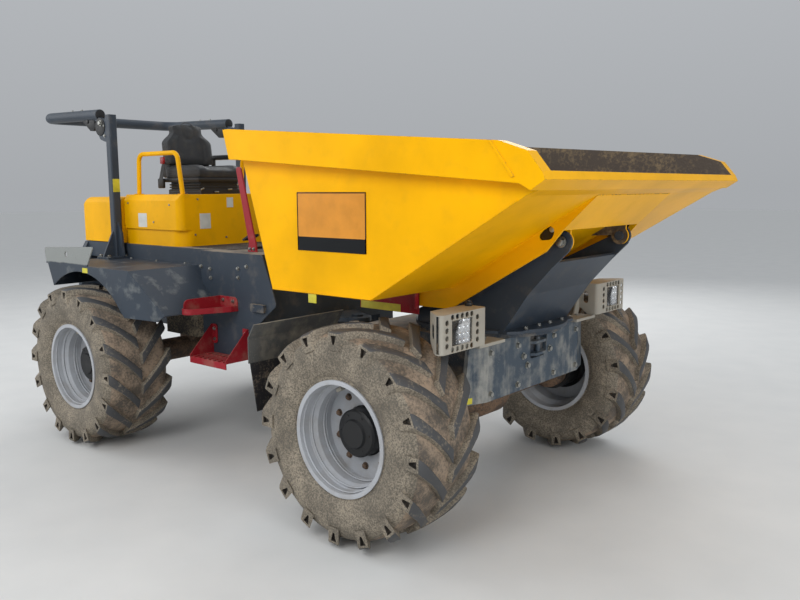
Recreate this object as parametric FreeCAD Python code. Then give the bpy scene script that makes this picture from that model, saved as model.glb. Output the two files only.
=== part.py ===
import FreeCAD, Part
import math
import os

# Articulated site dumper with a skip that swivels and tips.
# All sizes are in millimetres. X points forwards, Y to the machine's left, Z up.
# Places along the machine are given from the rear axle, and save() shifts them
# so that the origin lies on the ground under the middle of the whole machine.
# Outlines are lists of corners, and a third number is the corner's bend radius.

V = FreeCAD.Vector

# Wheels and axles
WHEELBASE = 2633.0
TRACK = 2071.0
TYRE_R = 567.0
TYRE_W = 493.0
CARCASS_R = 531.0
CARCASS_SIDES = 16
CROWN_W = 330.0
SHOULDER_R = 505.0
LUG_COUNT = 16
LUG_W = 60.0
LUG_SWEEP = 220.0
LUG_END_DROP = 15.0
LUG_WRAP = 60.0
RIM_SEAT_R = 286.0
RIM_FLANGE_R = 301.0
RIM_W = 426.0
RIM_LIP = 10.0
RIM_WALL = 9.0
RIM_WELL_R = 252.0
DISC_OFFSET = 12.0
DISC_T = 14.0
HUB_R = 125.0
HUB_FLANGE_R = 172.0
HUB_REACH = 108.0
HUB_BACK = 190.0
SPINDLE_R = 60.0
AXLE_TUBE_R = 85.0
AXLE_BULGE_R = 145.0
AXLE_PAD = 140.0

# Clearances
PIN_GAP = 0.05
FACE_GAP = 0.3
SIDE_GAP = 5.0

# Pivots
ARTIC_X = WHEELBASE - 1033.0
SLEW_X = WHEELBASE + 67.0
TIP_X = SLEW_X + 660.0
TIP_Z = TYRE_R + 963.0

# Rear chassis
BODY_Y = 580.0
PANEL_Y = 660.0
PANEL_X0 = 745.0
PANEL_NOSE_X = ARTIC_X - 80.0
PANEL_NOSE_Z = TYRE_R + 503.0
PANEL_T = 8.0
PANEL_Z0 = TYRE_R + 123.0
BAND_Z0 = TYRE_R + 698.0
DECK_Z = TYRE_R + 818.0
DECK_FRONT_X = ARTIC_X - 240.0
DECK_T = 8.0
RAIL_Y0 = 250.0
RAIL_Y1 = 300.0
RAIL_Z0 = TYRE_R + 153.0
RAIL_Z1 = TYRE_R + 333.0
TAIL_X = -950.0
TAIL_T = 50.0
TAIL_Z0 = TYRE_R + 133.0
BULKHEAD_T = 12.0
BULKHEAD_Z0 = TYRE_R + 73.0
FORK_R = 95.0
FORK_PIN_R = 40.0
FORK_Z = [(TYRE_R + 73.0, TYRE_R + 103.0), (TYRE_R + 333.0, TYRE_R + 363.0)]

# Engine and its cover
ENGINE_X = (-780.0, -60.0)
ENGINE_Y = 235.0
ENGINE_Z = (TYRE_R + 173.0, TYRE_R + 773.0)
BONNET_FRONT_X = -372.0
BONNET_TOP_Z = TYRE_R + 1178.0
BONNET_T = 5.0
BONNET_BEND = 45.0
LOUVRE_COUNT = 6
LOUVRE_PITCH = 36.0
LOUVRE_H = 16.0
LOUVRE_Y = 330.0
HINGE_X = -962.0
HINGE_Z = TYRE_R + 833.0
HINGE_Y = 380.0
HINGE_PIN_R = 6.0
HINGE_EYE_W = 40.0
HINGE_EYE_R = 12.0
HINGE_CHEEK_T = 10.0

# Driver's place
SEAT_BOX_X0 = -355.0
SEAT_BOX_X1 = 372.0
SEAT_BOX_Y = 562.0
SEAT_BOX_Z = TYRE_R + 1198.0
SEAT_BOX_LEDGE_Z = TYRE_R + 938.0
HOOP_TOP_Z = TYRE_R + 1503.0
HOOP_R = 17.0
HOOP_BEND = 60.0
SEAT_W = 470.0
SEAT_Z = TYRE_R + 1308.0
CUSHION_T = 115.0
BACKREST_H = 345.0
CONSOLE_Y = 230.0
CONSOLE_X = DECK_FRONT_X - 440.0
CONSOLE_DEPTH = 200.0
CONSOLE_TOP_Z = TYRE_R + 1323.0
PEDAL_Y = 330.0
PEDAL_W = 90.0
PEDAL_ROD_R = 9.0
RAIL_BASE_X = DECK_FRONT_X - 229.0
RAIL_TOP_Z = TYRE_R + 1383.0
HANDRAIL_Y = 513.0
HANDRAIL_T = 12.0
WHEEL_CENTRE = (CONSOLE_X - 120.0, 0.0, CONSOLE_TOP_Z + 60.0)
WHEEL_TILT = (0.5, 0.0, -0.866)
WHEEL_R = 190.0

# Roll bar
ROPS_X = -388.0
ROPS_Y = 620.0
ROPS_POST = 65.0
ROPS_TOP_Z = TYRE_R + 1805.0
ROPS_HINGE_X = -468.0
ROPS_HINGE_Z = TYRE_R + 1743.0
ROPS_PIN_R = 12.0
ROPS_CHEEK_T = 12.0
ROPS_TUBE_R = 42.0
ROPS_BEND = 130.0
ROPS_REACH = 953.0
ROPS_ARM_Z = TYRE_R + 1813.0
ROPS_REAR_Z = TYRE_R + 1833.0
ROPS_ARM_START = 67.0

# Rear fenders and steps
FENDER_TOP_Z = TYRE_R + 708.0
FENDER_Y = 1150.0
FENDER_T = 6.0
ARCH_R = TYRE_R + 98.0
WING_T = 8.0
TIE_HOLE_X = -180.0
TIE_HOLE_Z = TYRE_R + 778.0
TIE_HOLE_R = 20.0
STEP_T = 6.0
UPPER_STEP_X = PANEL_X0 + 205.0
UPPER_STEP_L = 185.0
UPPER_STEP_Y = 985.0
UPPER_STEP_Z = TYRE_R + 433.0
LOWER_STEP_X = PANEL_X0 + 105.0
LOWER_STEP_L = 385.0
LOWER_STEP_Y = 855.0
LOWER_STEP_Z = TYRE_R + 123.0
STEP_BACK_Z = TYRE_R + 321.0
TOOTH_PITCH = 50.0

# Front chassis
FRAME_Z0 = TYRE_R + 133.0
FRAME_Z1 = TYRE_R + 418.0
FRAME_Y = 430.0
FRAME_WALL = 25.0
FRAME_BACK_X = WHEELBASE - 573.0
FRAME_FRONT_X = WHEELBASE + 357.0
MUDGUARD_X = FRAME_BACK_X - 105.0
MUDGUARD_T = 6.0
MUDGUARD_Y0 = 560.0
MUDGUARD_Y1 = 1250.0
MUDGUARD_Z0 = TYRE_R + 293.0
MUDGUARD_Z1 = TYRE_R + 433.0
RING_R = 420.0
RING_TOP_Z = TYRE_R + 443.0
BOSS_R = 100.0
BOSS_H = 22.0
BUMPER_T = 25.0
BUMPER_Y = 650.0
BUMPER_TOP_Y = 612.0
BUMPER_BEND_Y = 500.0
BUMPER_SWEEP = 50.0
BUMPER_Z0 = TYRE_R + 98.0
GUARD_X0 = FRAME_FRONT_X - 40.0
GUARD_X1 = FRAME_FRONT_X + 98.0
GUARD_Y0 = 617.0
GUARD_Y1 = 1030.0
GUARD_Z0 = TYRE_R + 441.0
GUARD_Z1 = TYRE_R + 636.0
GUARD_T = 6.0
GUARD_SLANT = 120.0
LAMP_Y0 = GUARD_Y0 + 133.0
LAMP_Y1 = GUARD_Y1 - 120.0
LAMP_H = 124.0
HEX_R = 15.0
HEX_PITCH = 40.0

# Steering rams
STEER_X = ARTIC_X - 400.0
STEER_Y = 430.0
STEER_Z = TYRE_R + 233.0
STEER_EYE_X = ARTIC_X + 350.0
STEER_EYE_Y = 300.0
STEER_PIN_R = 15.0
STEER_BORE_R = 18.0
STEER_BODY_R = 30.0
STEER_BODY_L = 400.0
STEER_LUGS = [(STEER_Z - 50.0, STEER_Z - 35.0), (STEER_Z + 35.0, STEER_Z + 50.0)]

# Swivel frame and tipping ram
SWIVEL_Y = 350.0
SWIVEL_T = 15.0
SWIVEL_TOP_Z = TYRE_R + 463.0
SWIVEL_R = 450.0
EAR_R = 55.0
TIP_PIN_R = 25.0
SWIVEL_BACK_X = SLEW_X - 280.0
SWIVEL_FRONT_X = SLEW_X + 300.0
RAM_X = SLEW_X + 265.0
RAM_Z = TYRE_R + 528.0
RAM_PIN_R = 20.0
RAM_BORE_R = 30.0
RAM_BODY_R = 48.0
RAM_ROD_SHOWN = 131.0
RAM_EYE_X = SLEW_X - 650.0
RAM_EYE_Z = TYRE_R + 633.0
RAM_LUG_Y = (60.0, 75.0)

# Skip
SKIP_Y = 1100.0
BAND_Y = 1165.0
SKIP_WALL = 8.0
FLOOR_Z = TYRE_R + 690.0
FLOOR_X0 = SLEW_X - 700.0
RAKE_X0 = SLEW_X + 30.0
RAKE_X1 = RAKE_X0 + 870.0
RAKE_Z1 = TYRE_R + 1203.0
LIP_X = RAKE_X1 + 128.0
BACK_TOP_X = FLOOR_X0 - 275.0
BACK_TOP_Z = TYRE_R + 1563.0
BAND_FOOT_Z = TYRE_R + 1397.0
KEEL_Y = 440.0
KEEL_T = 12.0
KEEL_Z = TYRE_R + 568.0

# The whole machine reaches from the folded roll bar to the skip's lip.
REAR_END_X = ROPS_HINGE_X - ROPS_REACH - ROPS_TUBE_R
SHIFT_X = -(LIP_X + REAR_END_X) / 2.0


def box(x0, x1, y0, y1, z0, z1):
    return Part.makeBox(x1 - x0, y1 - y0, z1 - z0, V(x0, y0, z0))


def closed_wire(corners):
    """Closed outline of (point, bend radius) corners, each bend a tangent arc."""
    ends = []
    count = len(corners)
    for i, (corner, bend) in enumerate(corners):
        if not bend:
            ends.append((corner, None, corner))
            continue
        a = (corners[i - 1][0] - corner).normalize()
        b = (corners[(i + 1) % count][0] - corner).normalize()
        half = a.getAngle(b) / 2.0
        run = bend / math.tan(half)
        middle = corner + (a + b).normalize() * (bend / math.sin(half) - bend)
        ends.append((corner + a * run, middle, corner + b * run))
    edges = []
    for i, (first, middle, last) in enumerate(ends):
        if middle:
            edges.append(Part.Arc(first, middle, last).toShape())
        following = ends[(i + 1) % count][0]
        if (following - last).Length > 0.001:
            edges.append(Part.LineSegment(last, following).toShape())
    return Part.Wire(edges)


def prism(outline, place, way):
    corners = [(place(c[0], c[1]), c[2] if len(c) > 2 else 0.0) for c in outline]
    return Part.Face(closed_wire(corners)).extrude(way)


def prism_xz(outline, y0, y1):
    """Outline in the side view, from y0 to y1."""
    return prism(outline, lambda x, z: V(x, y0, z), V(0, y1 - y0, 0))


def prism_yz(outline, x0, x1):
    """Outline in the front view, from x0 to x1."""
    return prism(outline, lambda y, z: V(x0, y, z), V(x1 - x0, 0, 0))


def prism_xy(outline, z0, z1):
    """Outline in the top view, from z0 to z1."""
    return prism(outline, lambda x, y: V(x, y, z0), V(0, 0, z1 - z0))


def rod(start, end, radius):
    start, end = V(*start), V(*end)
    return Part.makeCylinder(radius, (end - start).Length, start, end - start)


def rod_y(x, z, radius, y0, y1):
    return rod((x, y0, z), (x, y1, z), radius)


def rod_z(x, y, radius, z0, z1):
    return rod((x, y, z0), (x, y, z1), radius)


def fuse(shapes):
    whole = shapes[0].fuse(shapes[1:]) if len(shapes) > 1 else shapes[0]
    return whole.removeSplitter()


def mirrored(shape):
    return shape.mirror(V(0, 0, 0), V(0, 1, 0))


def both_sides(shape):
    return [shape, mirrored(shape)]


def turned_about_y(profile, x, z):
    """Revolves a closed outline of (radius, y) points about the line through (x, z)."""
    wire = Part.makePolygon([V(x, y, z + r) for r, y in profile + profile[:1]])
    return Part.Face(wire).revolve(V(x, 0, z), V(0, 1, 0), 360)


def tube_path(points, bend):
    """Wire of straight runs with a round bend of the given radius at each inner point."""
    points = [V(*p) for p in points]
    edges = []
    start = points[0]
    for before, corner, after in zip(points, points[1:], points[2:]):
        a = (before - corner).normalize()
        b = (after - corner).normalize()
        half = a.getAngle(b) / 2.0
        run = bend / math.tan(half)
        first = corner + a * run
        last = corner + b * run
        middle = corner + (a + b).normalize() * (bend / math.sin(half) - bend)
        edges.append(Part.LineSegment(start, first).toShape())
        edges.append(Part.Arc(first, middle, last).toShape())
        start = last
    edges.append(Part.LineSegment(start, points[-1]).toShape())
    return Part.Wire(edges)


def tube(points, bend, radius):
    wire = tube_path(points, bend)
    first = wire.Edges[0]
    ring = Part.Wire(Part.makeCircle(radius, V(*points[0]), first.tangentAt(first.FirstParameter)))
    return wire.makePipeShell([ring], True, False)


def solid_of(faces):
    """Closed solid from flat faces, each a list of corners."""
    made = [Part.Face(Part.makePolygon(corners + corners[:1])) for corners in faces]
    solid = Part.Solid(Part.Shell(made))
    if solid.Volume < 0:
        solid.reverse()
    return solid


def save(name, shape):
    moved = shape.copy()
    moved.translate(V(SHIFT_X, 0, 0))
    solids = moved.Solids
    moved = solids[0] if len(solids) == 1 else Part.makeCompound(solids)
    moved.exportStep("parts/" + name + ".step")
    print(name, len(solids), "solids", round(moved.Volume / 1e6, 2), "litres", moved.isValid())


# Wheels: a name, the axle's place along the machine and the side it is on.
WHEELS = [
    ("front_right", WHEELBASE, -1),
    ("front_left", WHEELBASE, 1),
    ("rear_right", 0.0, -1),
    ("rear_left", 0.0, 1),
]


def wheel_side(profile, x, side):
    """Turns an outline of (radius, distance outboard of the tyre's middle)."""
    solid = turned_about_y([(r, TRACK / 2.0 + t) for r, t in profile], x, TYRE_R)
    return solid if side > 0 else mirrored(solid)


def on_wheel(angle, radius, along, outboard):
    """Point at a height above the axle and a run along the tread, turned to an angle."""
    up = V(math.sin(angle), 0, math.cos(angle))
    forward = V(math.cos(angle), 0, -math.sin(angle))
    return up * radius + forward * along + V(0, outboard, 0)


def carcass():
    """Body of the tyre, with flat facets round it that carry the lugs."""
    bead = RIM_W / 2.0 - RIM_LIP
    half = TYRE_W / 2.0
    half_outline = [
        ((RIM_SEAT_R + FACE_GAP) / math.cos(math.pi / CARCASS_SIDES), bead),
        (RIM_FLANGE_R + 6.0, bead), (430.0, half), (SHOULDER_R, half - 10.0), (CARCASS_R, CROWN_W / 2.0),
    ]
    outline = half_outline + [(r, -t) for r, t in reversed(half_outline)]
    turn = 2.0 * math.pi / CARCASS_SIDES
    faces = []
    for i in range(CARCASS_SIDES):
        a, b = i * turn, (i + 1) * turn
        for (r0, t0), (r1, t1) in zip(outline, outline[1:] + outline[:1]):
            faces.append([on_wheel(a, r0, 0, t0), on_wheel(b, r0, 0, t0),
                          on_wheel(b, r1, 0, t1), on_wheel(a, r1, 0, t1)])
    return solid_of(faces)


def lug(angle, hand):
    """One bar of the tread, from near the middle round the shoulder, its top folded to follow the round."""
    foot = SHOULDER_R - LUG_WRAP
    inner, outer = 8.0, TYRE_W / 2.0 - 4.0
    half = LUG_W / 2.0
    # Distance outboard, run along the tread and radius of the top.
    stations = [
        (inner, 0.54 * LUG_SWEEP, TYRE_R - 0.5), ((inner + outer) / 2.0, 0.04 * LUG_SWEEP, TYRE_R - 0.5),
        (outer, -0.46 * LUG_SWEEP, TYRE_R - LUG_END_DROP),
    ]
    top, low = [], []
    for t, run, radius in stations:
        high = math.sqrt(radius ** 2 - (abs(run) + half) ** 2)
        for height, row in ((high, top), (foot, low)):
            row.append([on_wheel(angle, height, run + w, hand * t) for w in (half, -half)])
    faces = [
        [low[0][0], low[2][0], low[2][1], low[0][1]],
        [low[0][0], low[0][1], top[0][1], top[0][0]],
        [low[2][0], low[2][1], top[2][1], top[2][0]],
    ]
    faces += [[a[0], a[1], b[1], b[0]] for a, b in zip(top, top[1:])]
    faces += [[low[0][k], low[2][k], top[2][k], top[1][k], top[0][k]] for k in (0, 1)]
    return solid_of(faces)


def tyre(x, side):
    pitch = 2.0 * math.pi / LUG_COUNT
    lugs = [lug((i + 0.5) * pitch, 1) for i in range(LUG_COUNT)]
    lugs += [lug(i * pitch, -1) for i in range(LUG_COUNT)]
    whole = fuse([carcass()] + lugs)
    whole.translate(V(x, TRACK / 2.0, TYRE_R))
    return whole if side > 0 else mirrored(whole)


def rim(x, side):
    edge = RIM_W / 2.0
    bead = edge - RIM_LIP
    seat_in = bead - 55.0
    well = bead - 95.0
    inner = RIM_SEAT_R - RIM_WALL
    outline = [
        (RIM_FLANGE_R, edge), (RIM_FLANGE_R, bead), (RIM_SEAT_R, bead),
        (RIM_SEAT_R, seat_in), (RIM_WELL_R + RIM_WALL, well),
        (RIM_WELL_R + RIM_WALL, -well), (RIM_SEAT_R, -seat_in), (RIM_SEAT_R, -bead),
        (RIM_FLANGE_R, -bead), (RIM_FLANGE_R, -edge), (inner, -edge),
        (inner, -seat_in), (RIM_WELL_R, -well), (RIM_WELL_R, DISC_OFFSET - DISC_T),
        (HUB_R + 8.0, DISC_OFFSET - DISC_T), (HUB_R + 8.0, DISC_OFFSET),
        (RIM_WELL_R, DISC_OFFSET), (RIM_WELL_R, well), (inner, seat_in), (inner, edge),
    ]
    return wheel_side(outline, x, side)


def hub(x, side):
    back = DISC_OFFSET - DISC_T
    bore = SPINDLE_R + PIN_GAP
    outline = [
        (0.0, HUB_REACH), (70.0, HUB_REACH), (78.0, HUB_REACH - 12.0), (HUB_R - 10.0, HUB_REACH - 20.0),
        (HUB_R, HUB_REACH - 30.0), (HUB_R, back), (HUB_FLANGE_R, back), (HUB_FLANGE_R, back - 24.0),
        (150.0, back - 40.0), (150.0, -HUB_BACK), (bore, -HUB_BACK), (bore, -20.0), (0.0, -20.0),
    ]
    return wheel_side(outline, x, side)


def axle(x):
    y_end = TRACK / 2.0 - HUB_BACK - SIDE_GAP
    spindle_end = TRACK / 2.0 - 20.0 - SIDE_GAP
    half = [
        (AXLE_BULGE_R, 90.0), (AXLE_TUBE_R + 20.0, 190.0), (AXLE_TUBE_R, 260.0),
        (AXLE_TUBE_R, y_end - 90.0), (130.0, y_end - 60.0), (130.0, y_end),
        (SPINDLE_R, y_end), (SPINDLE_R, spindle_end), (0.0, spindle_end),
    ]
    outline = half + [(r, -y) for r, y in reversed(half)]
    housing = turned_about_y(outline, x, TYRE_R)
    pad = box(x - AXLE_PAD / 2.0, x + AXLE_PAD / 2.0, RAIL_Y0, RAIL_Y1, TYRE_R, RAIL_Z0)
    return fuse([housing] + both_sides(pad))


def side_panel():
    """Plate beside the cockpit, and the narrower band behind it along the engine bay."""
    outline = [
        (PANEL_X0, DECK_Z), (DECK_FRONT_X + 30.0, DECK_Z, 40.0), (PANEL_NOSE_X, PANEL_NOSE_Z, 30.0),
        (PANEL_NOSE_X - 220.0, PANEL_NOSE_Z - 170.0, 60.0), (PANEL_NOSE_X - 280.0, PANEL_Z0, 25.0),
        (PANEL_X0, PANEL_Z0, 25.0),
    ]
    plate = prism_xz(outline, PANEL_Y - PANEL_T, PANEL_Y)
    band = box(TAIL_X + TAIL_T, PANEL_X0 + PANEL_T, BODY_Y - PANEL_T, BODY_Y, BAND_Z0, DECK_Z)
    step = box(PANEL_X0, PANEL_X0 + PANEL_T, BODY_Y - PANEL_T, PANEL_Y, PANEL_Z0 + 25.0, DECK_Z - DECK_T)
    return fuse([plate, band, step])


def rear_frame():
    inner = PANEL_Y - PANEL_T
    rail = box(TAIL_X + TAIL_T, DECK_FRONT_X - BULKHEAD_T, RAIL_Y0, RAIL_Y1, RAIL_Z0, RAIL_Z1)
    bulkhead = box(DECK_FRONT_X - BULKHEAD_T, DECK_FRONT_X, -inner, inner, BULKHEAD_Z0, DECK_Z - DECK_T)
    window = box(
        DECK_FRONT_X - 50.0, DECK_FRONT_X + 50.0, RAIL_Y1 + 10.0, STEER_Y + 70.0, STEER_Z - 60.0,
        STEER_Z + 60.0)
    parts = both_sides(rail) + both_sides(side_panel()) + [bulkhead.cut(fuse(both_sides(window)))]
    parts.append(box(560.0, 600.0, -RAIL_Y1, RAIL_Y1, RAIL_Z0, RAIL_Z1))
    for z0, z1 in FORK_Z:
        plate = prism_xy([
            (DECK_FRONT_X - BULKHEAD_T, -240.0), (ARTIC_X, -FORK_R, 30.0), (ARTIC_X, FORK_R, 30.0),
            (DECK_FRONT_X - BULKHEAD_T, 240.0)], z0, z1)
        parts.append(plate.fuse(rod_z(ARTIC_X, 0.0, FORK_R, z0, z1)))
    parts.append(rod_z(ARTIC_X, 0.0, FORK_PIN_R, FORK_Z[0][0] - 10.0, FORK_Z[1][1] + 15.0))
    brace_z = STEER_LUGS[1][1] + 2.0 * SIDE_GAP
    parts += both_sides(box(PANEL_X0 + 20.0, PANEL_X0 + 80.0, RAIL_Y1, inner, brace_z, RAIL_Z1))
    for z0, z1 in STEER_LUGS:
        parts += both_sides(box(STEER_X - 45.0, STEER_X + 60.0, RAIL_Y1, STEER_Y + 50.0, z0, z1))
    pin = rod_z(STEER_X, STEER_Y, STEER_PIN_R, STEER_LUGS[0][0] - 5.0, STEER_LUGS[1][1] + 5.0)
    return fuse(parts + both_sides(pin))


def tail_panel():
    plate = prism_yz([
        (-PANEL_Y, TAIL_Z0, 60.0), (PANEL_Y, TAIL_Z0, 60.0), (PANEL_Y, BAND_Z0 - 20.0, 30.0),
        (BODY_Y, DECK_Z, 20.0), (-BODY_Y, DECK_Z, 20.0), (-PANEL_Y, BAND_Z0 - 20.0, 30.0)],
        TAIL_X, TAIL_X + TAIL_T - FACE_GAP)
    lamp = box(TAIL_X - 35.0, TAIL_X, PANEL_Y - 180.0, PANEL_Y - 40.0, BAND_Z0 - 145.0, BAND_Z0 - 65.0)
    half = HINGE_EYE_W / 2.0 + 1.0
    parts = [plate] + both_sides(lamp)
    for y in (HINGE_Y - half - HINGE_CHEEK_T, HINGE_Y + half):
        cheek = box(
            HINGE_X - HINGE_EYE_R, TAIL_X, y, y + HINGE_CHEEK_T, HINGE_Z - 40.0, HINGE_Z + HINGE_EYE_R)
        parts += both_sides(cheek)
    pin = rod_y(HINGE_X, HINGE_Z, HINGE_PIN_R, HINGE_Y - half - 5.0, HINGE_Y + half + 5.0)
    return fuse(parts + both_sides(pin))


def engine():
    block = box(ENGINE_X[0], ENGINE_X[1], -ENGINE_Y, ENGINE_Y, ENGINE_Z[0], ENGINE_Z[1])
    z = RAIL_Z1 + FACE_GAP
    feet = [box(x, x + 90.0, -RAIL_Y1, RAIL_Y1, z, z + 40.0) for x in (-700.0, -250.0)]
    return fuse([block] + feet)


def fuel_tank():
    return box(150.0, 540.0, RAIL_Y1 + FACE_GAP, BODY_Y - 20.0, RAIL_Z0 + 20.0, DECK_Z - 205.0)


def deck():
    rear_y = BODY_Y - PANEL_T - FACE_GAP
    front_y = PANEL_Y - PANEL_T - FACE_GAP
    z0 = DECK_Z - DECK_T + FACE_GAP
    rear = box(SEAT_BOX_X0 - 8.0, DECK_FRONT_X, -rear_y, rear_y, z0, DECK_Z)
    front = box(PANEL_X0 + PANEL_T, DECK_FRONT_X, -front_y, front_y, z0, DECK_Z)
    return fuse([rear, front])


def bonnet():
    low = DECK_Z + SIDE_GAP
    rear = TAIL_X + 10.0
    bend = BONNET_BEND

    def hood(y, top, x0, x1, inset):
        section = prism_yz([(-y, low - inset), (y, low - inset), (y, top, bend), (-y, top, bend)], x0, x1)
        slope = prism_xz(
            [(x0 - 1.0, top - 60.0), (x0 + 60.0, top + 1.0), (x0 - 1.0, top + 1.0)], -y - 1.0, y + 1.0)
        return section.cut(slope)

    t = BONNET_T
    shell = hood(BODY_Y, BONNET_TOP_Z, rear, BONNET_FRONT_X, 0.0)
    shell = shell.cut(hood(BODY_Y - t, BONNET_TOP_Z - t, rear + t, BONNET_FRONT_X - t, 1.0))
    for i in range(LOUVRE_COUNT):
        z = low + 50.0 + i * LOUVRE_PITCH
        slot = [(-LOUVRE_Y, z, 7.0), (LOUVRE_Y, z, 7.0), (LOUVRE_Y, z + LOUVRE_H, 7.0),
            (-LOUVRE_Y, z + LOUVRE_H, 7.0)]
        shell = shell.cut(prism_yz(slot, rear - 5.0, rear + 20.0))
    y0 = HINGE_Y - HINGE_EYE_W / 2.0
    y1 = HINGE_Y + HINGE_EYE_W / 2.0
    eye = rod_y(HINGE_X, HINGE_Z, HINGE_EYE_R, y0, y1)
    leaf = box(HINGE_X, rear + 1.0, y0, y1, HINGE_Z - 6.0, HINGE_Z + 6.0)
    bore = rod_y(HINGE_X, HINGE_Z, HINGE_PIN_R + PIN_GAP, y0 - 1.0, y1 + 1.0)
    return fuse([shell] + both_sides(eye.fuse(leaf).cut(bore)))


def seat_box():
    """Moulded box under the seat: squarer front corners above a ledge, rounder ones below."""
    low = prism_xy([
        (SEAT_BOX_X0, -SEAT_BOX_Y + 14.0), (SEAT_BOX_X1, -SEAT_BOX_Y + 14.0, 110.0),
        (SEAT_BOX_X1, SEAT_BOX_Y - 14.0, 110.0), (SEAT_BOX_X0, SEAT_BOX_Y - 14.0)], DECK_Z, SEAT_BOX_LEDGE_Z)
    high = prism_xy([
        (SEAT_BOX_X0, -SEAT_BOX_Y), (SEAT_BOX_X1, -SEAT_BOX_Y, 55.0),
        (SEAT_BOX_X1, SEAT_BOX_Y, 55.0), (SEAT_BOX_X0, SEAT_BOX_Y)], SEAT_BOX_LEDGE_Z, SEAT_BOX_Z)
    whole = fuse([low, high])
    edge_y, edge_z = SEAT_BOX_Y + 1.0, SEAT_BOX_Z + 1.0
    bevel = prism_yz([(edge_y - 27.0, edge_z), (edge_y, edge_z), (edge_y, edge_z - 47.0)],
                     SEAT_BOX_X0 - 1.0, SEAT_BOX_X1 + 1.0)
    return whole.cut(fuse(both_sides(bevel)))


def hoops():
    foot = SEAT_BOX_Z + 4.0
    y = SEAT_BOX_Y - 62.0
    legs = (-235.0, 335.0)
    points = [(legs[0], y, foot), (-215.0, y, HOOP_TOP_Z), (285.0, y, HOOP_TOP_Z), (legs[1], y, foot)]
    flanges = [box(x - 32.0, x + 32.0, y - 22.0, y + 22.0, SEAT_BOX_Z, SEAT_BOX_Z + 6.0) for x in legs]
    return both_sides(fuse([tube(points, HOOP_BEND, HOOP_R)] + flanges))


def rops_posts():
    half = ROPS_POST / 2.0
    z0 = FENDER_TOP_Z + FACE_GAP
    x0, x1 = ROPS_X - half, ROPS_X + half
    y0, y1 = ROPS_Y - half, ROPS_Y + half
    post = prism_xy([(x0, y0, 10.0), (x1, y0, 10.0), (x1, y1, 10.0), (x0, y1, 10.0)], z0, ROPS_TOP_Z)
    foot = box(ROPS_X - 65.0, ROPS_X + 100.0, BODY_Y + SIDE_GAP, ROPS_Y + 140.0, z0, z0 + 15.0)
    gusset = prism_xz([
        (ROPS_X - 55.0, z0 + 15.0), (ROPS_X + 92.0, z0 + 15.0), (ROPS_X + 80.0, z0 + 190.0),
        (x1 - 5.0, z0 + 285.0), (x0, z0 + 285.0)], ROPS_Y - 8.0, ROPS_Y + 8.0)
    wing = prism_yz([(y1 - 5.0, z0 + 15.0), (ROPS_Y + 125.0, z0 + 15.0), (y1 - 5.0, z0 + 225.0)],
                    ROPS_X - 8.0, ROPS_X + 8.0)
    outline = [
        (ROPS_X, ROPS_HINGE_Z - 140.0), (x0 - 10.0, ROPS_HINGE_Z - 140.0),
        (ROPS_HINGE_X - 30.0, ROPS_HINGE_Z - 120.0, 30.0), (ROPS_HINGE_X - 75.0, ROPS_HINGE_Z - 35.0, 40.0),
        (ROPS_HINGE_X - 70.0, ROPS_HINGE_Z + 15.0, 10.0),
        (ROPS_HINGE_X - 40.0, ROPS_HINGE_Z + 26.0, 10.0), (ROPS_X, ROPS_HINGE_Z + 26.0),
    ]
    t = ROPS_CHEEK_T
    cheeks = [prism_xz(outline, y, y + t) for y in (y0, y1 - t)]
    pin = rod_y(ROPS_HINGE_X, ROPS_HINGE_Z, ROPS_PIN_R, y0 - 8.0, y1 + 8.0)
    side = fuse([post, foot, gusset, wing] + cheeks + [pin])
    return fuse(both_sides(side))


def rops_top():
    arm_x = ROPS_HINGE_X - ROPS_ARM_START
    rear_x = ROPS_HINGE_X - ROPS_REACH
    path = [
        (arm_x, ROPS_Y, ROPS_ARM_Z), (rear_x, ROPS_Y, ROPS_REAR_Z),
        (rear_x, -ROPS_Y, ROPS_REAR_Z), (arm_x, -ROPS_Y, ROPS_ARM_Z),
    ]
    hoop = tube(path, ROPS_BEND, ROPS_TUBE_R)
    half = ROPS_POST / 2.0 - ROPS_CHEEK_T - 1.0
    y0, y1 = ROPS_Y - half, ROPS_Y + half
    tongue = prism_xz([
        (arm_x - 90.0, ROPS_ARM_Z - 20.0), (arm_x + 1.0, ROPS_ARM_Z - 20.0),
        (ROPS_HINGE_X + 5.0, ROPS_HINGE_Z + 24.0, 8.0), (ROPS_HINGE_X + 20.0, ROPS_HINGE_Z, 8.0),
        (ROPS_HINGE_X, ROPS_HINGE_Z - 24.0, 8.0), (ROPS_HINGE_X - 30.0, ROPS_HINGE_Z - 20.0, 20.0)], y0, y1)
    bore = rod_y(ROPS_HINGE_X, ROPS_HINGE_Z, ROPS_PIN_R + PIN_GAP, y0 - 10.0, y1 + 10.0)
    return fuse([hoop] + both_sides(tongue.cut(bore)))


def seat_base():
    low = box(-300.0, 130.0, -190.0, 190.0, SEAT_BOX_Z, SEAT_BOX_Z + 35.0)
    bellows = box(-285.0, 115.0, -175.0, 175.0, SEAT_BOX_Z + 35.0, SEAT_Z - 15.0)
    pan = box(-320.0, 140.0, -215.0, 215.0, SEAT_Z - 15.0, SEAT_Z)
    return fuse([low, bellows, pan])


def seat_cushion():
    half = SEAT_W / 2.0
    outline = [(-330.0, -half, 60.0), (160.0, -half, 90.0), (160.0, half, 90.0), (-330.0, half, 60.0)]
    return prism_xy(outline, SEAT_Z + FACE_GAP, SEAT_Z + CUSHION_T)


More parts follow.
